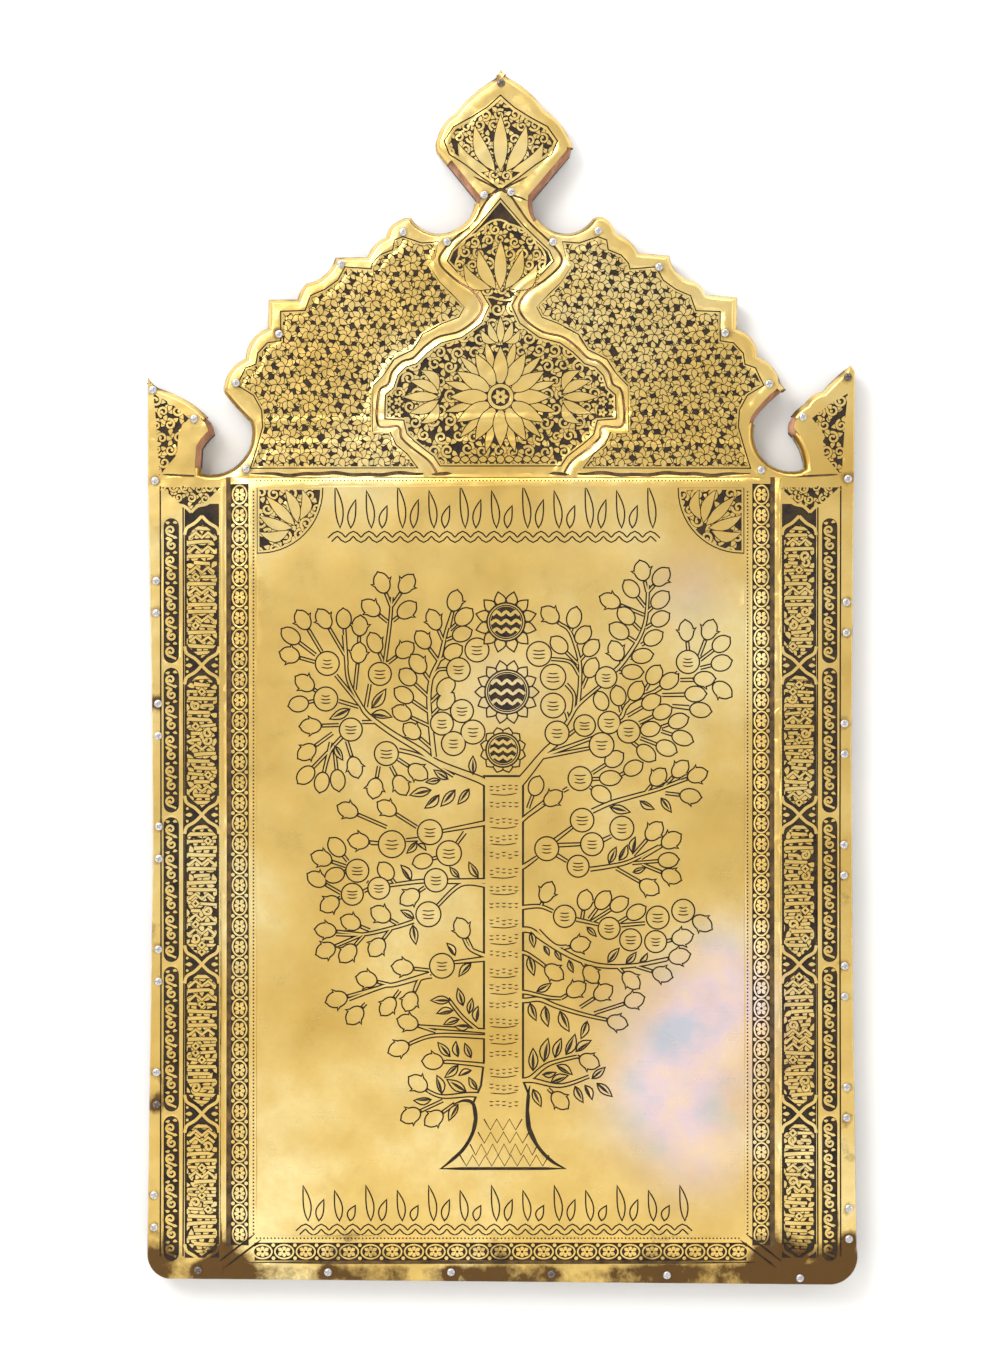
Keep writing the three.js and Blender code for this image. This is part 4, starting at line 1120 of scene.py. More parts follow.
def band_piece(face_loop):
    outer = [(-BAND_OUTER, BAND_BOTTOM), (BAND_OUTER, BAND_BOTTOM), (BAND_OUTER, CREST_SPLIT),
             (-BAND_OUTER, CREST_SPLIT)]
    r = Relief([outer, face_loop])
    hole = r.face([(-FIELD_HALF, FIELD_LOW), (FIELD_HALF, FIELD_LOW), (FIELD_HALF, FIELD_HIGH),
                   (-FIELD_HALF, FIELD_HIGH)])
    low = ROUNDEL["top"] - ROUNDEL["pitch"] * (ROUNDEL["rows"] - 1)
    half = 6.9
    for side in (-1, 1):
        x = side * ROUNDEL["line"]
        ground = [(x - half, low - 8), (x + half, low - 8), (x + half, ROUNDEL["top"] + 8),
                  (x - half, ROUNDEL["top"] + 8)]
        r.face(ground, DARK, 0.5)
        places = [(x, ROUNDEL["top"] - ROUNDEL["pitch"] * i) for i in range(ROUNDEL["rows"])]
        draw_roundel_row(r, places, math.pi / 2, 5.0)
        rng = random.Random(50 + side)
        count = int((FIELD_HIGH - low) / DOTTED["pitch"])
        for i in range(count):
            dot = (side * DOTTED["line"], FIELD_HIGH - 3 - DOTTED["pitch"] * i)
            r.face(circle(dot, DOTTED["radius"], 5, turn=rng.uniform(0, 1)), DARK, 1.0)
        valley = [(side * 201.4, FIELD_TOP[1] - 2), (side * 201.0, -150), (side * 201.4, low - 10)]
        r.groove(smooth(valley, 6.0), 0.8, 3.4, kind=BROWN, taper=False)
        r.groove(smooth([(side * 208.3, 140), (side * 208.3, -430)], 3.0), 0.9, 1.0, taper=False)
        corner_in, corner_out = spot(500.5 + side * 242, 1236), spot(500.5 + side * 279, 1265)
        for shift in (-2.2, 2.2):
            path = [(corner_in[0] + side * shift, corner_in[1] + shift),
                    (corner_out[0] + side * shift, corner_out[1] + shift)]
            r.groove(smooth(path, 2.0), 1.8, 1.5)
    level = BOTTOM_ROUNDEL["level"]
    reach = 182.0
    r.face([(-reach, level - half), (reach, level - half), (reach, level + half),
            (-reach, level + half)], DARK, 0.5)
    each = BOTTOM_ROUNDEL["each_side"]
    places = [(i * BOTTOM_ROUNDEL["pitch"], level) for i in range(-each, each + 1)]
    draw_roundel_row(r, places, 0.0, 5.0)
    for i in range(int(2 * FIELD_HALF / DOTTED["pitch"])):
        dot = (-FIELD_HALF + DOTTED["pitch"] * i, FIELD_LOW - 2.2)
        r.face(circle(dot, DOTTED["radius"], 5), DARK, 1.0)
        top_dot = (-FIELD_HALF + DOTTED["pitch"] * i, FIELD_HIGH + 5.5)
        r.face(circle(top_dot, DOTTED["radius"] * 0.8, 5), DARK, 1.0)
    r.groove(smooth([(-190, -433.6), (190, -433.6)], 6.0), 0.9, 2.4, kind=BROWN)
    piece = r.build("roundel_slope", face_height, 4.0, 2, {hole})
    return finish_piece(piece, "brass", "brass_sheet")


# Upright bands of the margins
BAY = {"top": 118.8, "pitch": 110.6, "count": 5}
STROKE_BAND = {"middle": 221.0, "half": 12.7, "point": 4.0, "shoulder": 14.0}
VINE_BAND = {"middle": 243.6, "half": 5.7}
TOP_PANEL = [(206.9, 140), (251, 140), (238, 128.5), (229, 122.6), (219, 128.5)]


def draw_vine(r, side, low, high, seed):
    """A running scroll of small rings inside an upright panel with round ends."""
    rng = random.Random(seed)
    x = side * VINE_BAND["middle"]
    half = VINE_BAND["half"]
    loop = []
    for i in range(9):
        angle = math.pi * i / 8
        loop.append((x + half * math.cos(angle), high - half + half * math.sin(angle)))
    for i in range(9):
        angle = math.pi + math.pi * i / 8
        loop.append((x + half * math.cos(angle), low + half + half * math.sin(angle)))
    mask = r.face(loop)
    r.face(loop, DARK, 0.2)
    pitch = 11.2
    count = max(1, int((high - low - 4) / pitch))
    start = (high + low) / 2 + pitch * (count - 1) / 2
    for i in range(count):
        hand = 1 if i % 2 else -1
        centre = (x + hand * 0.5, start - pitch * i)
        ring = curl(centre, 3.9, hand, math.pi / 2 * hand, 1.15, 0.3)
        r.ribbon(ring, lambda t: 0.95 - 0.25 * t, 1.0, mask, 0.22)
        r.island(circle(ring[-1], 1.2, 7), 1.0, mask, 0.2)
        link = [toward(centre, math.pi / 2 * hand, 3.9),
                (x - hand * 3.6, centre[1] + pitch * 0.5 * hand)]
        r.ribbon(link, 0.8, 1.0, mask, 0.2)
        for k in (-1, 1):
            tip = (x + k * 4.6, centre[1] + pitch / 2 + rng.uniform(-1, 1))
            r.island(leaf_loop((x + k * 1.0, centre[1] + pitch / 2), tip, 2.2, 0.5), 1.0, mask, 0.2)


def band_strokes(r, mask, middle, half, low, high, seed):
    """Bars, zigzags, lozenges and curls over small leaves, none of them a letter."""
    rng = random.Random(seed)
    leaf_fill(r, mask, (middle - half, low, middle + half, high), 6.0, seed + 7, 0.8, 0.35)
    columns = 5
    pitch = 2 * half / columns
    rows = int((high - low) / 4.9)
    step = (high - low) / rows
    place = lambda column, row: (middle - half + pitch * (column + 0.5), low + step * (row + 0.5))
    thick = 1.18
    for row in range(rows):
        kind = rng.choice("bbbkcz")
        tilt = rng.uniform(-0.6, 0.6)
        if kind == "b":
            a, b = place(rng.choice((0, 0, 1)), row), place(columns - rng.choice((1, 1, 2)), row)
            bar = [(a[0] - 1.2, a[1] - tilt), ((a[0] + b[0]) / 2, a[1] + tilt * 0.5),
                   (b[0] + 1.2, b[1] + tilt)]
            r.lapped_stroke(smooth(bar, 3.0), lambda t: thick * (1.2 - 0.3 * t), 1.0, mask)
        elif kind == "k":
            c = place(rng.choice((1, 2, 3)), row)
            for hand in (-1, 1):
                end = (middle + hand * half * 0.9, c[1] + rng.uniform(-1.2, 1.2))
                r.lapped_stroke([(c[0] + hand * 2.4, c[1]), end], thick * 0.85, 1.0, mask)
            r.lapped(circle(c, 3.3, 4), 1.0, mask)
            r.face(circle(c, 1.3, 4), DARK, 1.0, mask)
        elif kind == "c":
            column = rng.choice((1, 3))
            ring = curl(place(column, row), 3.6, rng.choice((-1, 1)), rng.uniform(0, 6), 1.1, 0.35)
            r.lapped_stroke(ring, thick * 0.85, 1.0, mask)
            other = place(4 - column, row)
            r.lapped_stroke([(other[0] - 3.5, other[1]), (other[0] + 3.5, other[1] + tilt)],
                            thick, 1.0, mask)
        else:
            zigzag = []
            for column in range(columns):
                c = place(column, row)
                zigzag.append((c[0], c[1] + (1.9 if column % 2 else -1.9)))
            r.lapped_stroke(zigzag, thick * 0.9, 1.0, mask)


def draw_bays(r, side, seed):
    middle, half = side * STROKE_BAND["middle"], STROKE_BAND["half"]
    top, pitch, count = BAY["top"], BAY["pitch"], BAY["count"]
    bottom = top - pitch * count
    ground = [(middle - half, bottom + 4), (middle + half, bottom + 4), (middle + half, top + 9),
              (middle - half, top + 9)]
    r.face(ground, DARK, 0.2)
    for bay in range(count + 1):
        level = top - pitch * bay
        for hand in (-1, 1):
            upper = [(middle + hand * half, level + 14), (middle + hand * (half - 1.5), level + 9),
                     (middle + hand * 5, level + 5), (middle, level)]
            lower = [(middle, level), (middle - hand * 5, level - 5),
                     (middle - hand * (half - 1.5), level - 9), (middle - hand * half, level - 14)]
            if bay > 0:
                r.ribbon(smooth(upper, 1.6), 1.15, 1.5)
            if bay < count:
                r.ribbon(smooth(lower, 1.6), 1.15, 1.5)
            if 0 < bay < count:
                small = (middle + hand * (half - 3.4), level)
                r.island(leaf_loop((small[0] - hand * 2.4, level), (small[0] + hand * 3, level),
                                   3.0), 1.5)
                for k in (-1, 1):
                    r.island(circle((small[0] + hand * 1.5, level + k * 4.6), 1.1, 6), 1.5)
        if bay == count:
            break
        high, low = level - 5.5, level - pitch + 5.5
        loop = [(middle, high), (middle - 6, high - 4.5), (middle - half + 1.6, high - 10),
                (middle - half + 1.6, low + 10), (middle - 6, low + 4.5), (middle, low),
                (middle + 6, low + 4.5), (middle + half - 1.6, low + 10),
                (middle + half - 1.6, high - 10), (middle + 6, high - 4.5)]
        mask = r.face(loop)
        band_strokes(r, mask, middle, half - 1.2, low + 1, high - 1, seed + bay)
        draw_vine(r, side, level - pitch + 1.6, level - 1.6, seed + 20 + bay)
    panel = mirrored(TOP_PANEL, side)
    mask = r.face(panel)
    r.face(panel, DARK, 0.2)
    xs = [p[0] for p in panel]
    scroll_fill(r, mask, (min(xs), 124, max(xs), 141), 9.0, 0.85, seed + 40, 1.0)
    for hand in (-1, 1):
        end = (side * 229 + hand * 22, 139)
        path = [end, (side * 229 + hand * 13, 128.5), (side * 229 + hand * 5, 126),
                (side * 229, 121.5)]
        r.ribbon(smooth(path, 1.6), 1.1, 1.5)
    for x in (251.8, 234.9):
        r.groove(smooth([(side * x, 141), (side * (x - 0.6), -150), (side * x, bottom + 5)], 8.0),
                 0.6, 1.1, taper=False)
    for i in range(200):
        dot = (side * 208.6, 120 - 2.7 * i)
        if dot[1] > bottom:
            r.face(circle(dot, 0.6, 5), DARK, 0.7)


def ear_clip(side):
    loop = [(207.6, -460), (275, -460), (275, 240), (213.4, 240), (213.4, 203), (209, 185),
            (209, CREST_SPLIT), (207.6, CREST_SPLIT)]
    return mirrored(loop, side)


def margin_piece(side, face_loop):
    name = "left" if side < 0 else "right"
    r = Relief([face_loop, ear_clip(side)])
    draw_bays(r, side, 200 if side < 0 else 300)
    panel = mirrored(EAR_PANEL, side)
    mask = r.face(panel)
    r.face(panel, DARK, 0.2)
    box = (min(-255 * -side, 230 * side), 148, max(257 * side, -side * -230), 210)
    scroll_fill(r, mask, box, 11.0, 1.0, 70 + side, 1.0)
    seam = smooth([(side * 209, 148.6), (side * 222, 148.2), (side * 250, 149.5)], 4.0)
    r.groove(seam, 0.5, 1.6, kind=BROWN)
    piece = r.build(f"{name}_margin", face_height, 4.5, 3 + side)
    return finish_piece(piece, "brass", "brass_sheet")


# Crest
LEAF_PITCH = 15.0
LEAF_LINE = 0.5


def medallion_loop(shift=0.0):
    half = MEDALLION_HALF
    loop = [(-x, z) for x, z in reversed(half)] + list(half[1:])
    ring = loop if area(loop) > 0 else loop[::-1]
    return inset(ring, lambda _: shift) if shift else ring


def leaf_field(r, mask, side, seed):
    """Six petalled flowers over small fillers, packed so closely that they lap."""
    rng = random.Random(seed)
    pitch = LEAF_PITCH
    hole = pitch / math.sqrt(3)
    centres = []
    for row in range(18):
        for column in range(16):
            x = side * (22 + pitch * (column + (0.5 if row % 2 else 0)))
            z = 150 + pitch * 0.866 * row
            centres.append((x + 1.8 * math.sin(z / 17 + seed) + rng.uniform(-0.9, 0.9),
                            z + 1.8 * math.sin(x / 19 + seed) + rng.uniform(-0.9, 0.9)))
    for centre in centres:
        for k in (0, 1):
            away = math.pi / 6 + k * math.pi / 3
            middle = toward(centre, away, hole)
            for j in range(3):
                angle = away + math.pi / 3 * (2 * j + 1) + rng.uniform(-0.3, 0.3)
                petal = leaf_loop(middle, toward(middle, angle, 5.7), 3.5,
                                  rng.uniform(-0.6, 0.6), 4)
                r.lapped(petal, 0.9, mask, LEAF_LINE)
    rng.shuffle(centres)
    for centre in centres:
        turn = rng.uniform(-0.5, 0.5)
        hand = rng.choice((-1, 1))
        for k in range(6):
            angle = turn + math.pi * k / 3 + rng.uniform(-0.12, 0.12)
            petal = leaf_loop(toward(centre, angle, 0.4),
                              toward(centre, angle, rng.uniform(6.9, 7.9)),
                              rng.uniform(4.1, 4.8), hand * rng.uniform(0.2, 1.0), 4, 0.75)
            r.lapped(petal, 1.0, mask, LEAF_LINE)
        r.face(circle(centre, 0.7, 6), DARK, 1.0, mask)


# Rosette of the medallion: long petals round a small flower, with slim leaves between them
ROSETTE = {"centre": (0, 207), "petals": 12, "eye": 9.5, "far": 37.0, "width": 10.5}
SLIM_LEAF = {"near": 21.0, "far": 42.0, "width": 5.5}
FOOT_LEAVES = 160.8


def draw_rosette(r, mask):
    centre, count = ROSETTE["centre"], ROSETTE["petals"]
    for k in range(count):
        angle = 2 * math.pi * (k + 0.5) / count
        leaf = leaf_loop(toward(centre, angle, SLIM_LEAF["near"]),
                         toward(centre, angle, SLIM_LEAF["far"]), SLIM_LEAF["width"], 0, 7)
        r.lapped(leaf, 1.9, mask, 0.7)
    for k in range(count):
        angle = 2 * math.pi * k / count
        petal = leaf_loop(toward(centre, angle, ROSETTE["eye"] - 1),
                          toward(centre, angle, ROSETTE["far"]), ROSETTE["width"], 0, 8, 0.8)
        r.lapped(petal, 2.0, mask, 0.7)
    r.lapped(circle(centre, ROSETTE["eye"], 28), 2.3, mask, 0.7)
    r.face(circle(centre, ROSETTE["eye"] - 2.5, 24), DARK, 2.4, mask)
    for k in range(6):
        angle = 2 * math.pi * k / 6
        petal = leaf_loop(toward(centre, angle, 0.8), toward(centre, angle, 6.0), 3.4, 0, 5)
        r.island(petal, 2.5, mask, 0.2)


def draw_medallion_ground(r):
    loop = [(x, max(z, 156.0)) for x, z in medallion_loop(6.4)]
    mask = r.face(loop)
    r.face(loop, DARK, 0.3)
    scroll_fill(r, mask, (-92, 157, 92, 276), 12.0, 1.05, 91, 1.0)
    draw_rosette(r, mask)
    draw_fan(r, mask, (0, 247), 19, 5.4, 2.4)
    for side in (-1, 1):
        draw_fan(r, mask, (side * 46, 207), 26, 7.0, 2.4, math.pi / 2 - side * math.pi / 2)
        for k in range(4):
            centre = (side * (75.5 + 7.4 * (k % 2)), 195.5 + 8.0 * (k // 2))
            r.face(circle(centre, 4.4, 12), DARK, 2.8, mask)
            for j in range(5):
                angle = 2 * math.pi * j / 5
                r.island(leaf_loop(toward(centre, angle, 0.5), toward(centre, angle, 3.7), 2.3, 0,
                                   4), 2.9, mask, 0.2)
    for side in (-1, 1):
        for k in range(5):
            start = (side * (3.4 + 6.6 * k), FOOT_LEAVES)
            leaf = leaf_loop(start, (start[0] + side * 6.4, FOOT_LEAVES), 4.4, 0, 6)
            r.lapped(leaf, 3.0, mask, 0.7)
    r.lapped(circle((0, FOOT_LEAVES), 2.7, 14), 3.1, mask, 0.7)
    small = lobed((0, 306), 33, 27, 8, 0.07)
    lobes = r.face(small)
    r.face(small, DARK, 1.2, mask)
    r.groove_ring(inset(small, lambda _: -1.9), 1.0, 1.0, mask=mask)
    scroll_fill(r, lobes, (-36, 277, 36, 336), 10.5, 0.95, 97, 1.4)
    draw_fan(r, lobes, (0, 287), 36, 9.0, 2.0)


def lobed(centre, wide, tall, lobes, depth, count=64):
    """A closed outline with rounded lobes, drawn out a little at the top."""
    loop = []
    for i in range(count):
        angle = 2 * math.pi * i / count
        reach = 1 - depth * (1 - abs(math.sin(lobes * angle / 2 + math.pi / 4)))
        point = 1 + 0.18 * max(0, math.sin(angle)) ** 12
        loop.append((centre[0] + wide * reach * math.cos(angle),
                     centre[1] + tall * reach * point * math.sin(angle)))
    return loop


# The line along which the crest's three pieces meet, outside the medallion
CREST_DIVIDE_INNER = [
    (57, CREST_SPLIT), (57, 154), (61, 160), (72, 168), (79, 177), (80.5, 181), (94.5, 181),
    (94.2, 214.5), (86, 223), (78.5, 234), (64.5, 241), (57.5, 252.5), (43.5, 260.5),
    (30.5, 265.5), (26.5, 273.3), (36.4, 284), (44.8, 292), (52.2, 304), (48, 310.8),
    (45.6, 321.4), (45.6, 345), (75, 365), (75, 470),
]
CREST_DIVIDE = CREST_DIVIDE_INNER[:-2] + [(213.4, 345), (213.4, 203), (209, 185),
                                          (209, CREST_SPLIT)]


def leaf_piece(face_loop, side):
    name = "left" if side < 0 else "right"
    split = mirrored(CREST_DIVIDE, side)
    r = Relief([face_loop, split])
    panel = mirrored(LEAF_PANEL, side)
    ring = panel if area(panel) > 0 else panel[::-1]
    r.groove_ring(inset(ring, lambda _: -1.4), 0.1, 0.9)
    mask = r.face(ring)
    r.face(ring, DARK, 0.3)
    leaf_field(r, mask, side, 80 + side)
    seam = [(side * x, 149.8 + 0.7 * math.sin(x / 9) + 0.4 * math.sin(x / 3.7))
            for x in range(50, 187, 3)]
    r.groove(seam, 0.6, 2.8, kind=BROWN)
    piece = r.build(f"crest_leaves_{name}", face_height, 4.5, 10 + side)
    return finish_piece(piece, "brass", "brass_sheet")


def crest_piece(face_loop):
    half = CREST_DIVIDE_INNER
    middle = list(half) + [(-x, z) for x, z in reversed(half)]
    r = Relief([face_loop, middle])
    path = smooth([(-x, z) for x, z in reversed(MEDALLION_HALF)] + MEDALLION_HALF[1:], 2.5)
    r.groove(path, 0.6, 1.7, kind=BROWN, taper=False)
    r.groove_ring([(x, max(z, 154.0)) for x, z in medallion_loop(4.8)], 0.1, 0.9)
    draw_medallion_ground(r)
    ring = FINIAL_PANEL if area(FINIAL_PANEL) > 0 else FINIAL_PANEL[::-1]
    r.groove_ring(inset(ring, lambda _: -2.4), 0.1, 1.0)
    mask = r.face(ring)
    r.face(ring, DARK, 0.3)
    scroll_fill(r, mask, (-42, 362, 42, 428), 10.5, 0.95, 95, 1.0)
    draw_fan(r, mask, (0, 374), 42, 10.0, 2.0)
    for hand in (-1, 1):
        cross = smooth([(hand * 20, 352), (0, 360), (-hand * 20, 370)], 3.0)
        r.groove(cross, 0.05, 1.6, kind=BROWN)
    for hand in (-1, 1):
        seam = [(hand * x, 149.8 + 0.5 * math.sin(x / 5)) for x in range(36, 52, 3)]
        r.groove(seam, 0.6, 2.4, kind=BROWN)
    piece = r.build("crest_medallion", face_height, 4.0, 8)
    return finish_piece(piece, "brass", "brass_sheet")


# Folded edge of the sheet
FOLD_RINGS = [(1.0, 23.6), (0.8, 23.45), (0.55, 22.5), (0.3, 20.6), (0.1, 18.9), (0.0, 17.4),
              (0.0, 13.5), (0.0, FLANGE_BACK)]


def is_bare(middle):
    for side, low, high, near, far in BARE_WOOD:
        out = middle[0] * side
        if low < middle[1] < high and near < out < far:
            return True
    return False


def fold_piece(outline):
    count = len(outline)
    coords, faces, kinds = [], [], []
    rings = [(inset(outline, lambda p, f=share: f * bevel_width(p)), level)
             for share, level in FOLD_RINGS]
    rings.append((inset(outline, lambda _: SHEET), FLANGE_BACK))
    rings.append((inset(outline, lambda _: SHEET), 16.0))
    for ring, level in rings:
        for k, (x, z) in enumerate(ring):
            ripple = 0.12 * math.sin(x / 3.1 + z / 4.3) * (0 < rings.index((ring, level)) < 6)
            coords.append((x * MM, -(level + ripple) * MM, z * MM))
    bare = [is_bare(((outline[i][0] + outline[(i + 1) % count][0]) / 2,
                     (outline[i][1] + outline[(i + 1) % count][1]) / 2)) for i in range(count)]
    for level in range(len(rings) - 1):
        for i in range(count):
            if bare[i]:
                continue
            j = (i + 1) % count
            a, b = level * count + i, level * count + j
            faces.append((a, a + count, b + count, b))
            kinds.append(BRIGHT)
    lip = [(x * MM, -(RIM_FACE - SHEET) * MM, z * MM) for x, z in rings[0][0]]
    base = len(coords)
    coords += lip
    for i in range(count):
        if bare[i]:
            j = (i + 1) % count
            faces.append((i, base + i, base + j, j))
            kinds.append(BRIGHT)
    piece = mesh_object("folded_edge", coords, faces, kinds, BRASS_MATERIALS, 40)
    return finish_piece(piece, "brass", "brass_sheet")


def cap(loop, level, coords, faces, facing_front, spacing, seed):
    """A flat face over a loop, cut finely enough to carry a rough surface."""
    points = closed_by_longest(list(loop))
    ring = list(range(len(points)))
    rng = random.Random(seed)
    xs, zs = [p[0] for p in loop], [p[1] for p in loop]
    z = min(zs)
    while z < max(zs):
        x = min(xs)
        while x < max(xs):
            points.append((x + rng.uniform(-2, 2), z + rng.uniform(-2, 2)))
            x += spacing
        z += spacing
    verts, _, tris, _, _, origins = delaunay_2d_cdt(
        [Vector(p) for p in points], [], [ring], 0, 1e-4, True)
    base = len(coords)
    for v in verts:
        coords.append((v.x * MM, -level * MM, v.y * MM))
    for tri, ids in zip(tris, origins):
        if ids:
            turn = tri if facing_front else tri[::-1]
            faces.append(tuple(base + i for i in turn))


def board_piece(outline):
    side = inset(outline, lambda _: BOARD_SKIN)
    face = inset(outline, lambda p: BOARD_SKIN + bevel_width(p))
    rng = random.Random(61)
    levels = [(side, BOARD_BACK), (side, 9.0), (side, 12.0), (side, 15.0),
              (side, BEVEL_BACK - 0.65)]
    for share in (0.35, 0.7, 1.0):
        ring = [(s[0] + (f[0] - s[0]) * share, s[1] + (f[1] - s[1]) * share)
                for s, f in zip(side, face)]
        levels.append((ring, BEVEL_BACK - 0.65 + (BOARD_FRONT - BEVEL_BACK + 0.65) * share))
    coords, faces = [], []
    count = len(outline)
    for depth, (ring, level) in enumerate(levels):
        for x, z in ring:
            rough = 0.0 if depth in (0, len(levels) - 1) else rng.uniform(-0.12, 0.12)
            coords.append(((x + rough) * MM, -(level + rough) * MM, (z - rough) * MM))
    for depth in range(len(levels) - 1):
        for i in range(count):
            j = (i + 1) % count
            a, b = depth * count + i, depth * count + j
            faces.append((a, b, b + count, a + count))
    cap(side, BOARD_BACK, coords, faces, False, 14, 62)
    cap(face, BOARD_FRONT, coords, faces, True, 30, 63)
    piece = mesh_object("board", coords, faces, None, [wood_material()], 35)
    return finish_piece(piece, "board_wood", "wooden_board")


def backing_piece():
    rough = plaque_outline(lambda bow: 0 if bow > 0 else BACKING_HOLLOW)
    loop = densified(inset(rough, lambda _: BACKING_INSET), 4.0)
    rng = random.Random(64)
    coords, faces = [], []
    count = len(loop)
    profile = [(0.5, 0.0), (0.0, 0.6), (0.0, 3.0), (0.0, 5.5), (0.4, BACKING_FRONT)]
    for depth, (shrink, level) in enumerate(profile):
        ring = inset(loop, lambda _, s=shrink: s)
        for x, z in ring:
            rough_step = rng.uniform(0, 0.35) if 0 < depth < 4 else 0
            coords.append((x * (1 - rough_step / 900) * MM, -level * MM,
                           z * (1 - rough_step / 900) * MM))
    for depth in range(len(profile) - 1):
        for i in range(count):
            j = (i + 1) % count
            a, b = depth * count + i, depth * count + j
            faces.append((a, b, b + count, a + count))
    cap(inset(loop, lambda _: 0.5), 0.0, coords, faces, False, 14, 65)
    cap(inset(loop, lambda _: 0.4), BACKING_FRONT, coords, faces, True, 40, 66)
    piece = mesh_object("backing", coords, faces, None, [backing_material()], 35)
    return finish_piece(piece, "backing_wood", "backing_panel")


def wood_material():
    material, tree, shader = new_material("bare_wood")
    n = Nodes(tree)
    grain = n.noise(90.0, 6.0, 0.65, n.stretch((1.0, 1.0, 0.12)), 0.6)
    colour = n.ramp(grain, [(0.3, (0.20, 0.075, 0.035)), (0.5, (0.42, 0.19, 0.10)),
                            (0.7, (0.60, 0.33, 0.20))])
    dirt = n.range(n.noise(45.0, 5.0), 0.5, 0.7)
    tree.links.new(n.mix(n.math("MULTIPLY", dirt, 0.6), colour, (0.10, 0.045, 0.03)),
                   shader.inputs["Base Color"])
    shader.inputs["Roughness"].default_value = 0.78
    fibre = n.noise(600.0, 4.0, 0.6, n.stretch((1.0, 1.0, 0.08)))
    tree.links.new(n.bump(fibre, 0.5, 0.0006), shader.inputs["Normal"])
    return material


def backing_material():
    material, tree, shader = new_material("dark_backing")
    n = Nodes(tree)
    grain = n.noise(60.0, 6.0, 0.6, n.stretch((1.0, 1.0, 0.15)), 0.4)
    colour = n.ramp(grain, [(0.3, (0.008, 0.010, 0.018)), (0.6, (0.022, 0.026, 0.045)),
                            (0.8, (0.05, 0.05, 0.065))])
    tree.links.new(colour, shader.inputs["Base Color"])
    tree.links.new(n.range(grain, 0.3, 0.7, 0.55, 0.85), shader.inputs["Roughness"])
    fibre = n.noise(400.0, 5.0, 0.6, n.stretch((1.0, 1.0, 0.12)))
    tree.links.new(n.bump(fibre, 0.4, 0.0005), shader.inputs["Normal"])
    return material


# Screws
HEAD = {"radius": 3.0, "height": 1.95, "seat": 23.75, "recess": 1.1, "arm": 1.9, "slot": 0.45}


def screw_steel(name, low, high, rough):
    material, tree, shader = new_material(name)
    n = Nodes(tree)
    tree.links.new(n.ramp(n.noise(500.0, 4.0), [(0.3, low), (0.65, high)]),
                   shader.inputs["Base Color"])
    shader.inputs["Metallic"].default_value = 0.9
    tree.links.new(n.range(n.noise(700.0), 0.3, 0.7, rough, rough + 0.2),
                   shader.inputs["Roughness"])
    tree.links.new(n.bump(n.noise(1500.0, 2.0), 0.15, 0.0001), shader.inputs["Normal"])
    return material


def screw_plan():
    """Flat triangles of a head with its cross recess, and how high each point stands."""
    arm, slot = HEAD["arm"], HEAD["slot"]
    cross = [(arm, -slot), (arm, slot), (slot, slot), (slot, arm), (-slot, arm), (-slot, slot),
             (-arm, slot), (-arm, -slot), (-slot, -slot), (-slot, -arm), (slot, -arm),
             (slot, -slot)]
    points, faces = [], []
    for loop in (circle((0, 0), HEAD["radius"], 28), cross):
        faces.append(list(range(len(points), len(points) + len(loop))))
        points += loop
    for radius in (2.75, 2.35, 1.6):
        points += circle((0, 0), radius, 24)
    floor = [(x * 0.72, z * 0.72) for x, z in cross]
    edges = [(len(points) + i, len(points) + (i + 1) % 12) for i in range(12)]
    points += floor
    verts, _, tris, _, _, origins = delaunay_2d_cdt(
        [Vector(p) for p in points], edges, faces, 0, 1e-4, True)
    outside = {i for tri, ids in zip(tris, origins) if 1 not in ids for i in tri}
    placed = []
    for i, v in enumerate(verts):
        share = min(1.0, v.length / HEAD["radius"])
        dome = HEAD["height"] * (0.35 + 0.65 * math.sqrt(max(0.0, 1 - share ** 3.2)))
        placed.append((v.x, v.y, dome if i in outside else dome - HEAD["recess"]))
    return placed, [t for t, ids in zip(tris, origins) if ids]


def screw_pieces():
    rng = random.Random(67)
    light = screw_steel("screw_steel", (0.42, 0.41, 0.42), (0.72, 0.71, 0.72), 0.28)
    dull = screw_steel("dull_screw", (0.10, 0.08, 0.07), (0.26, 0.22, 0.19), 0.45)
    placed, tris = screw_plan()
    dark_ones = {"screw_finial_1", "screw_foot_1", "screw_foot_4", "screw_ear_right_1",
                 "screw_margin_left_11"}
    for node in sorted(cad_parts):
        if not node.startswith("screw_"):
            continue
        low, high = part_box(node)
        centre = ((low[0] + high[0]) / 2 / MM, (low[2] + high[2]) / 2 / MM)
        turn = rng.uniform(0, math.pi / 2)
        coords = []
        for x, z, up in placed:
            u = x * math.cos(turn) - z * math.sin(turn)
            v = x * math.sin(turn) + z * math.cos(turn)
            coords.append(((centre[0] + u) * MM, -(HEAD["seat"] + up) * MM,
                           (centre[1] + v) * MM))
        faces = list(tris)
        rim = circle((0, 0), HEAD["radius"], 28)
        base = len(coords)
        for x, z in rim:
            u = x * math.cos(turn) - z * math.sin(turn)
            v = x * math.sin(turn) + z * math.cos(turn)
            coords.append(((centre[0] + u) * MM, -HEAD["seat"] * MM, (centre[1] + v) * MM))
        for i in range(28):
            j = (i + 1) % 28
            faces.append((base + i, base + j, j, i))
        material = dull if node in dark_ones else light
        piece = mesh_object("head_of_" + node, coords, faces, None, [material], 35)
        finish_piece(piece, "screw_steel", node)
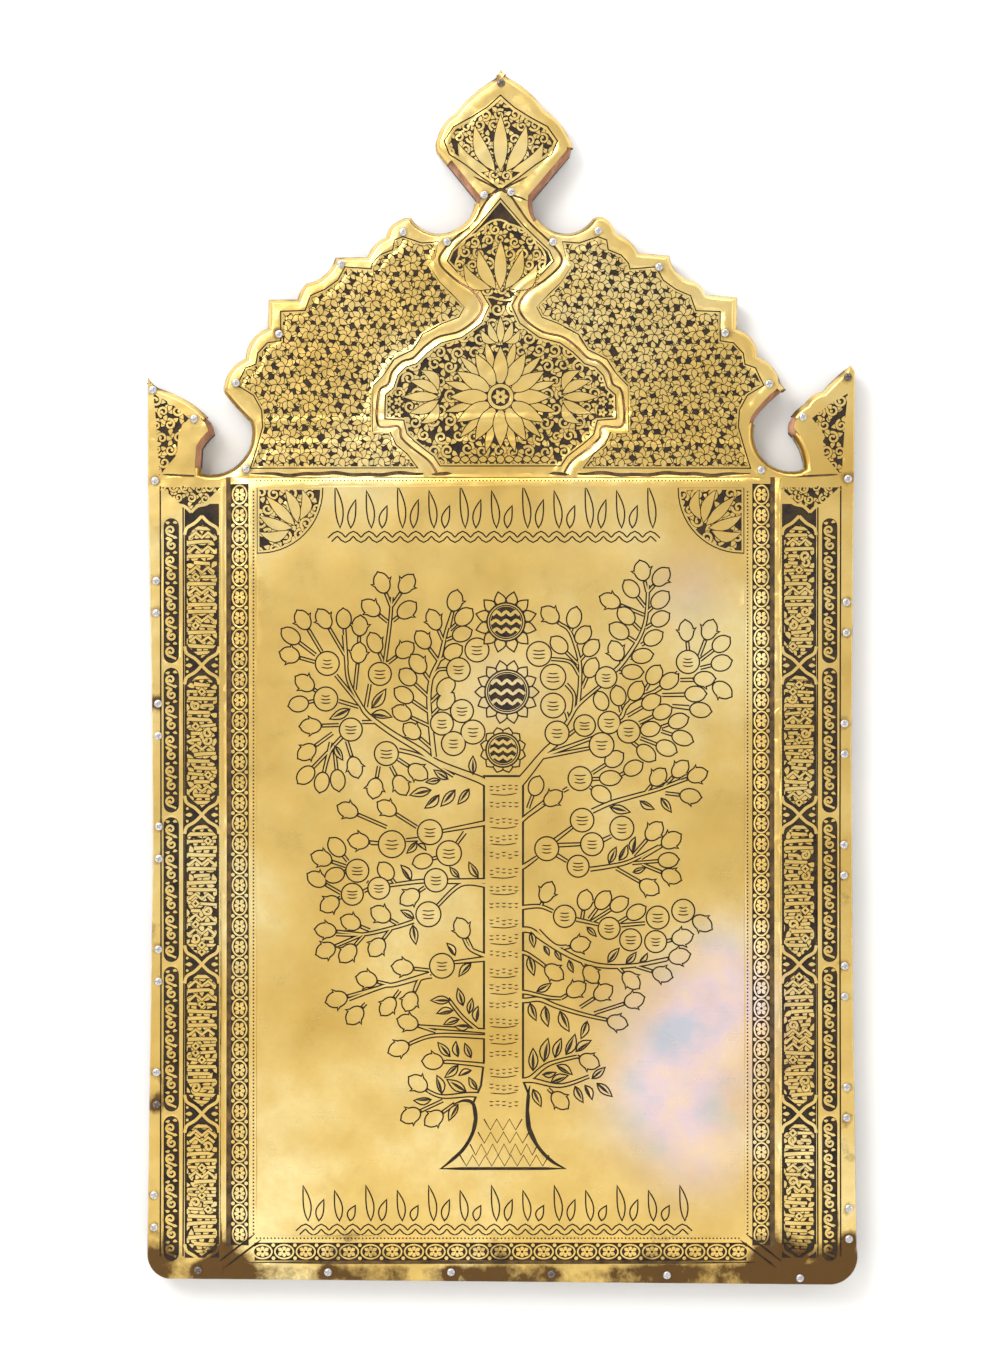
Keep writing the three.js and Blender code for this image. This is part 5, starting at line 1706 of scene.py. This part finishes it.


# Tarnish, painted shade and coloured blush, kept as attributes of the brass pieces
BLUSHES = [(690, 1040, 62, 1.0), (725, 1000, 45, 0.8), (660, 1100, 50, 0.8), (700, 1150, 45, 0.6),
           (690, 590, 35, 0.35), (505, 690, 30, 0.25), (720, 950, 30, 0.5)]
# Brown spots: x and y in pixels, reach and strength; the row at y 1262 and below darkens the bottom
# edge.
BROWN_SPOTS = [(155, 1262, 26, 0.9), (845, 1262, 30, 0.9), (240, 1275, 40, 0.6), (500, 1275, 60, 0.5),
          (660, 1275, 60, 0.55), (780, 1275, 45, 0.7), (152, 700, 14, 0.4), (152, 1100, 18, 0.5),
          (850, 900, 14, 0.5), (850, 1150, 18, 0.6), (153, 930, 14, 0.5), (300, 1040, 26, 0.25),
          (222, 1262, 20, 0.8), (777, 1262, 22, 0.8), (505, 605, 22, 0.2), (350, 1262, 40, 0.5)]


def add_tarnish_shade_and_blush(pieces):
    brown_spot_table = list(BROWN_SPOTS)
    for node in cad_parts:
        if node.startswith("screw_"):
            low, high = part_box(node)
            px = (low[0] + high[0]) / 2 / MM / PIXEL + PHOTO_MIDDLE[0]
            py = PHOTO_MIDDLE[1] - (low[2] + high[2]) / 2 / MM / PIXEL
            brown_spot_table.append((px, py, 8, 0.75))
    for piece in pieces:
        mesh = piece.data
        coords = np.empty(len(mesh.vertices) * 3)
        mesh.vertices.foreach_get("co", coords)
        coords = coords.reshape(-1, 3) / MM
        x, depth, z = coords[:, 0], -coords[:, 1], coords[:, 2]
        for name, table in (("tarnish_and_shade", brown_spot_table), ("blush", BLUSHES)):
            value = np.zeros(len(x))
            for px, py, radius, strength in table:
                cx, cz = spot(px, py)
                reach = radius * PIXEL
                value += strength * np.exp(-((x - cx) ** 2 + (z - cz) ** 2) / reach ** 2)
            if name == "tarnish_and_shade":
                # Painted shade: the folded edge is browned more the further it drops back towards
                # the wall.
                value += 0.5 * ease((RIM_FACE - 1.0 - depth) / 4)
                # Painted shade in the valley at the foot of the slope.
                foot = ease((np.abs(x) - 197) / 3) * ease((204 - np.abs(x)) / 2)
                value += 0.3 * foot * (z < FIELD_TOP[1])
                # Painted shade along the bottom edge, darker towards the bottom.
                value += 0.3 * ease((-434 - z) / 5)
            attribute = mesh.attributes.new(name, "FLOAT", "POINT")
            attribute.data.foreach_set("value", np.clip(value, 0, 1).astype(np.float32))


# Stage: a pale wall that is only seen from the front, and a pale floor below
def stage_material(name, one_sided):
    material, tree, shader = new_material(name)
    n = Nodes(tree)
    tree.links.new(n.ramp(n.noise(3.0), [(0.3, (0.86, 0.86, 0.85)), (0.7, (0.90, 0.90, 0.89))]),
                   shader.inputs["Base Color"])
    shader.inputs["Roughness"].default_value = 0.9
    if one_sided:
        geometry = tree.nodes.new("ShaderNodeNewGeometry")
        clear = tree.nodes.new("ShaderNodeBsdfTransparent")
        mix = tree.nodes.new("ShaderNodeMixShader")
        output = next(node for node in tree.nodes if node.type == "OUTPUT_MATERIAL")
        tree.links.new(geometry.outputs["Backfacing"], mix.inputs[0])
        tree.links.new(shader.outputs[0], mix.inputs[1])
        tree.links.new(clear.outputs[0], mix.inputs[2])
        tree.links.new(mix.outputs[0], output.inputs["Surface"])
    return material


def stage_plane(name, corners, one_sided):
    mesh = bpy.data.meshes.new(name)
    mesh.from_pydata(corners, [], [(0, 1, 2, 3)])
    mesh.materials.append(stage_material(name, one_sided))
    plane = bpy.data.objects.new(name, mesh)
    bpy.context.scene.collection.objects.link(plane)
    return plane


def build_stage():
    reach, wall, floor = 6.0, 0.002, -0.75
    back = stage_plane("wall", [(-reach, wall, floor), (reach, wall, floor), (reach, wall, reach),
                                (-reach, wall, reach)], True)
    back.visible_shadow = False
    stage_plane("floor", [(-reach, -reach, floor), (reach, -reach, floor), (reach, reach, floor),
                          (-reach, reach, floor)], False)


def area_light(name, place, aim, size, power, colour=(1, 1, 1)):
    light = bpy.data.lights.new(name, "AREA")
    light.shape = "RECTANGLE"
    light.size, light.size_y = size
    light.energy = power
    light.color = colour
    lamp = bpy.data.objects.new(name, light)
    lamp.location = place
    lamp.rotation_euler = (Vector(aim) - Vector(place)).to_track_quat("-Z", "Y").to_euler()
    bpy.context.scene.collection.objects.link(lamp)


def build_lights():
    world = bpy.data.worlds.new("soft_studio")
    world.use_nodes = True
    background = world.node_tree.nodes["Background"]
    background.inputs[0].default_value = (1.0, 0.99, 0.97, 1.0)
    background.inputs[1].default_value = 0.8
    bpy.context.scene.world = world
    area_light("key", (-1.5, -2.3, 1.6), (0, 0, 0.05), (1.5, 1.5), 60)
    area_light("fill", (2.2, -2.0, 0.2), (0, 0, 0), (1.2, 2.0), 9)
    area_light("top", (0.2, -0.9, 2.2), (0, 0, 0.1), (1.8, 0.8), 14)


# Camera: square to the face, so far away that a photograph's pixel is 0.74 mm at the face
LENS = 85.0
FILM = 36.0
FRAME_PIXELS = (1000, 1369)
AIM_PIXEL = (500.0, 684.5)


def build_camera():
    camera = bpy.data.cameras.new("camera")
    camera.lens = LENS
    camera.sensor_width = FILM
    height = FRAME_PIXELS[1] * PIXEL * MM
    distance = height * LENS / FILM
    x, z = spot(*AIM_PIXEL)
    eye = bpy.data.objects.new("camera", camera)
    eye.location = (x * MM, -distance - RIM_FACE * MM, z * MM)
    eye.rotation_euler = (math.pi / 2, 0, 0)
    bpy.context.scene.collection.objects.link(eye)
    bpy.context.scene.camera = eye


bpy.context.scene.view_settings.view_transform = "Standard"
build_camera()
build_stage()
build_lights()
MEDALLION_PATH = smooth([(-x, z) for x, z in reversed(MEDALLION_HALF)] + MEDALLION_HALF[1:], 4.0)
CREST_EDGE = [p for p in plaque_outline(lambda _: 1, 1.6) if p[1] > CREST_FOOT and abs(p[0]) < 214]
outline = densified(plaque_outline(lambda _: 1), 4.0)
face_loop = inset(outline, bevel_width)
brass_pieces = [
    field_piece(), band_piece(face_loop), margin_piece(-1, face_loop), margin_piece(1, face_loop),
    leaf_piece(face_loop, -1), leaf_piece(face_loop, 1), crest_piece(face_loop),
    fold_piece(outline),
]
board_piece(outline)
backing_piece()
screw_pieces()
add_tarnish_shade_and_blush(brass_pieces)
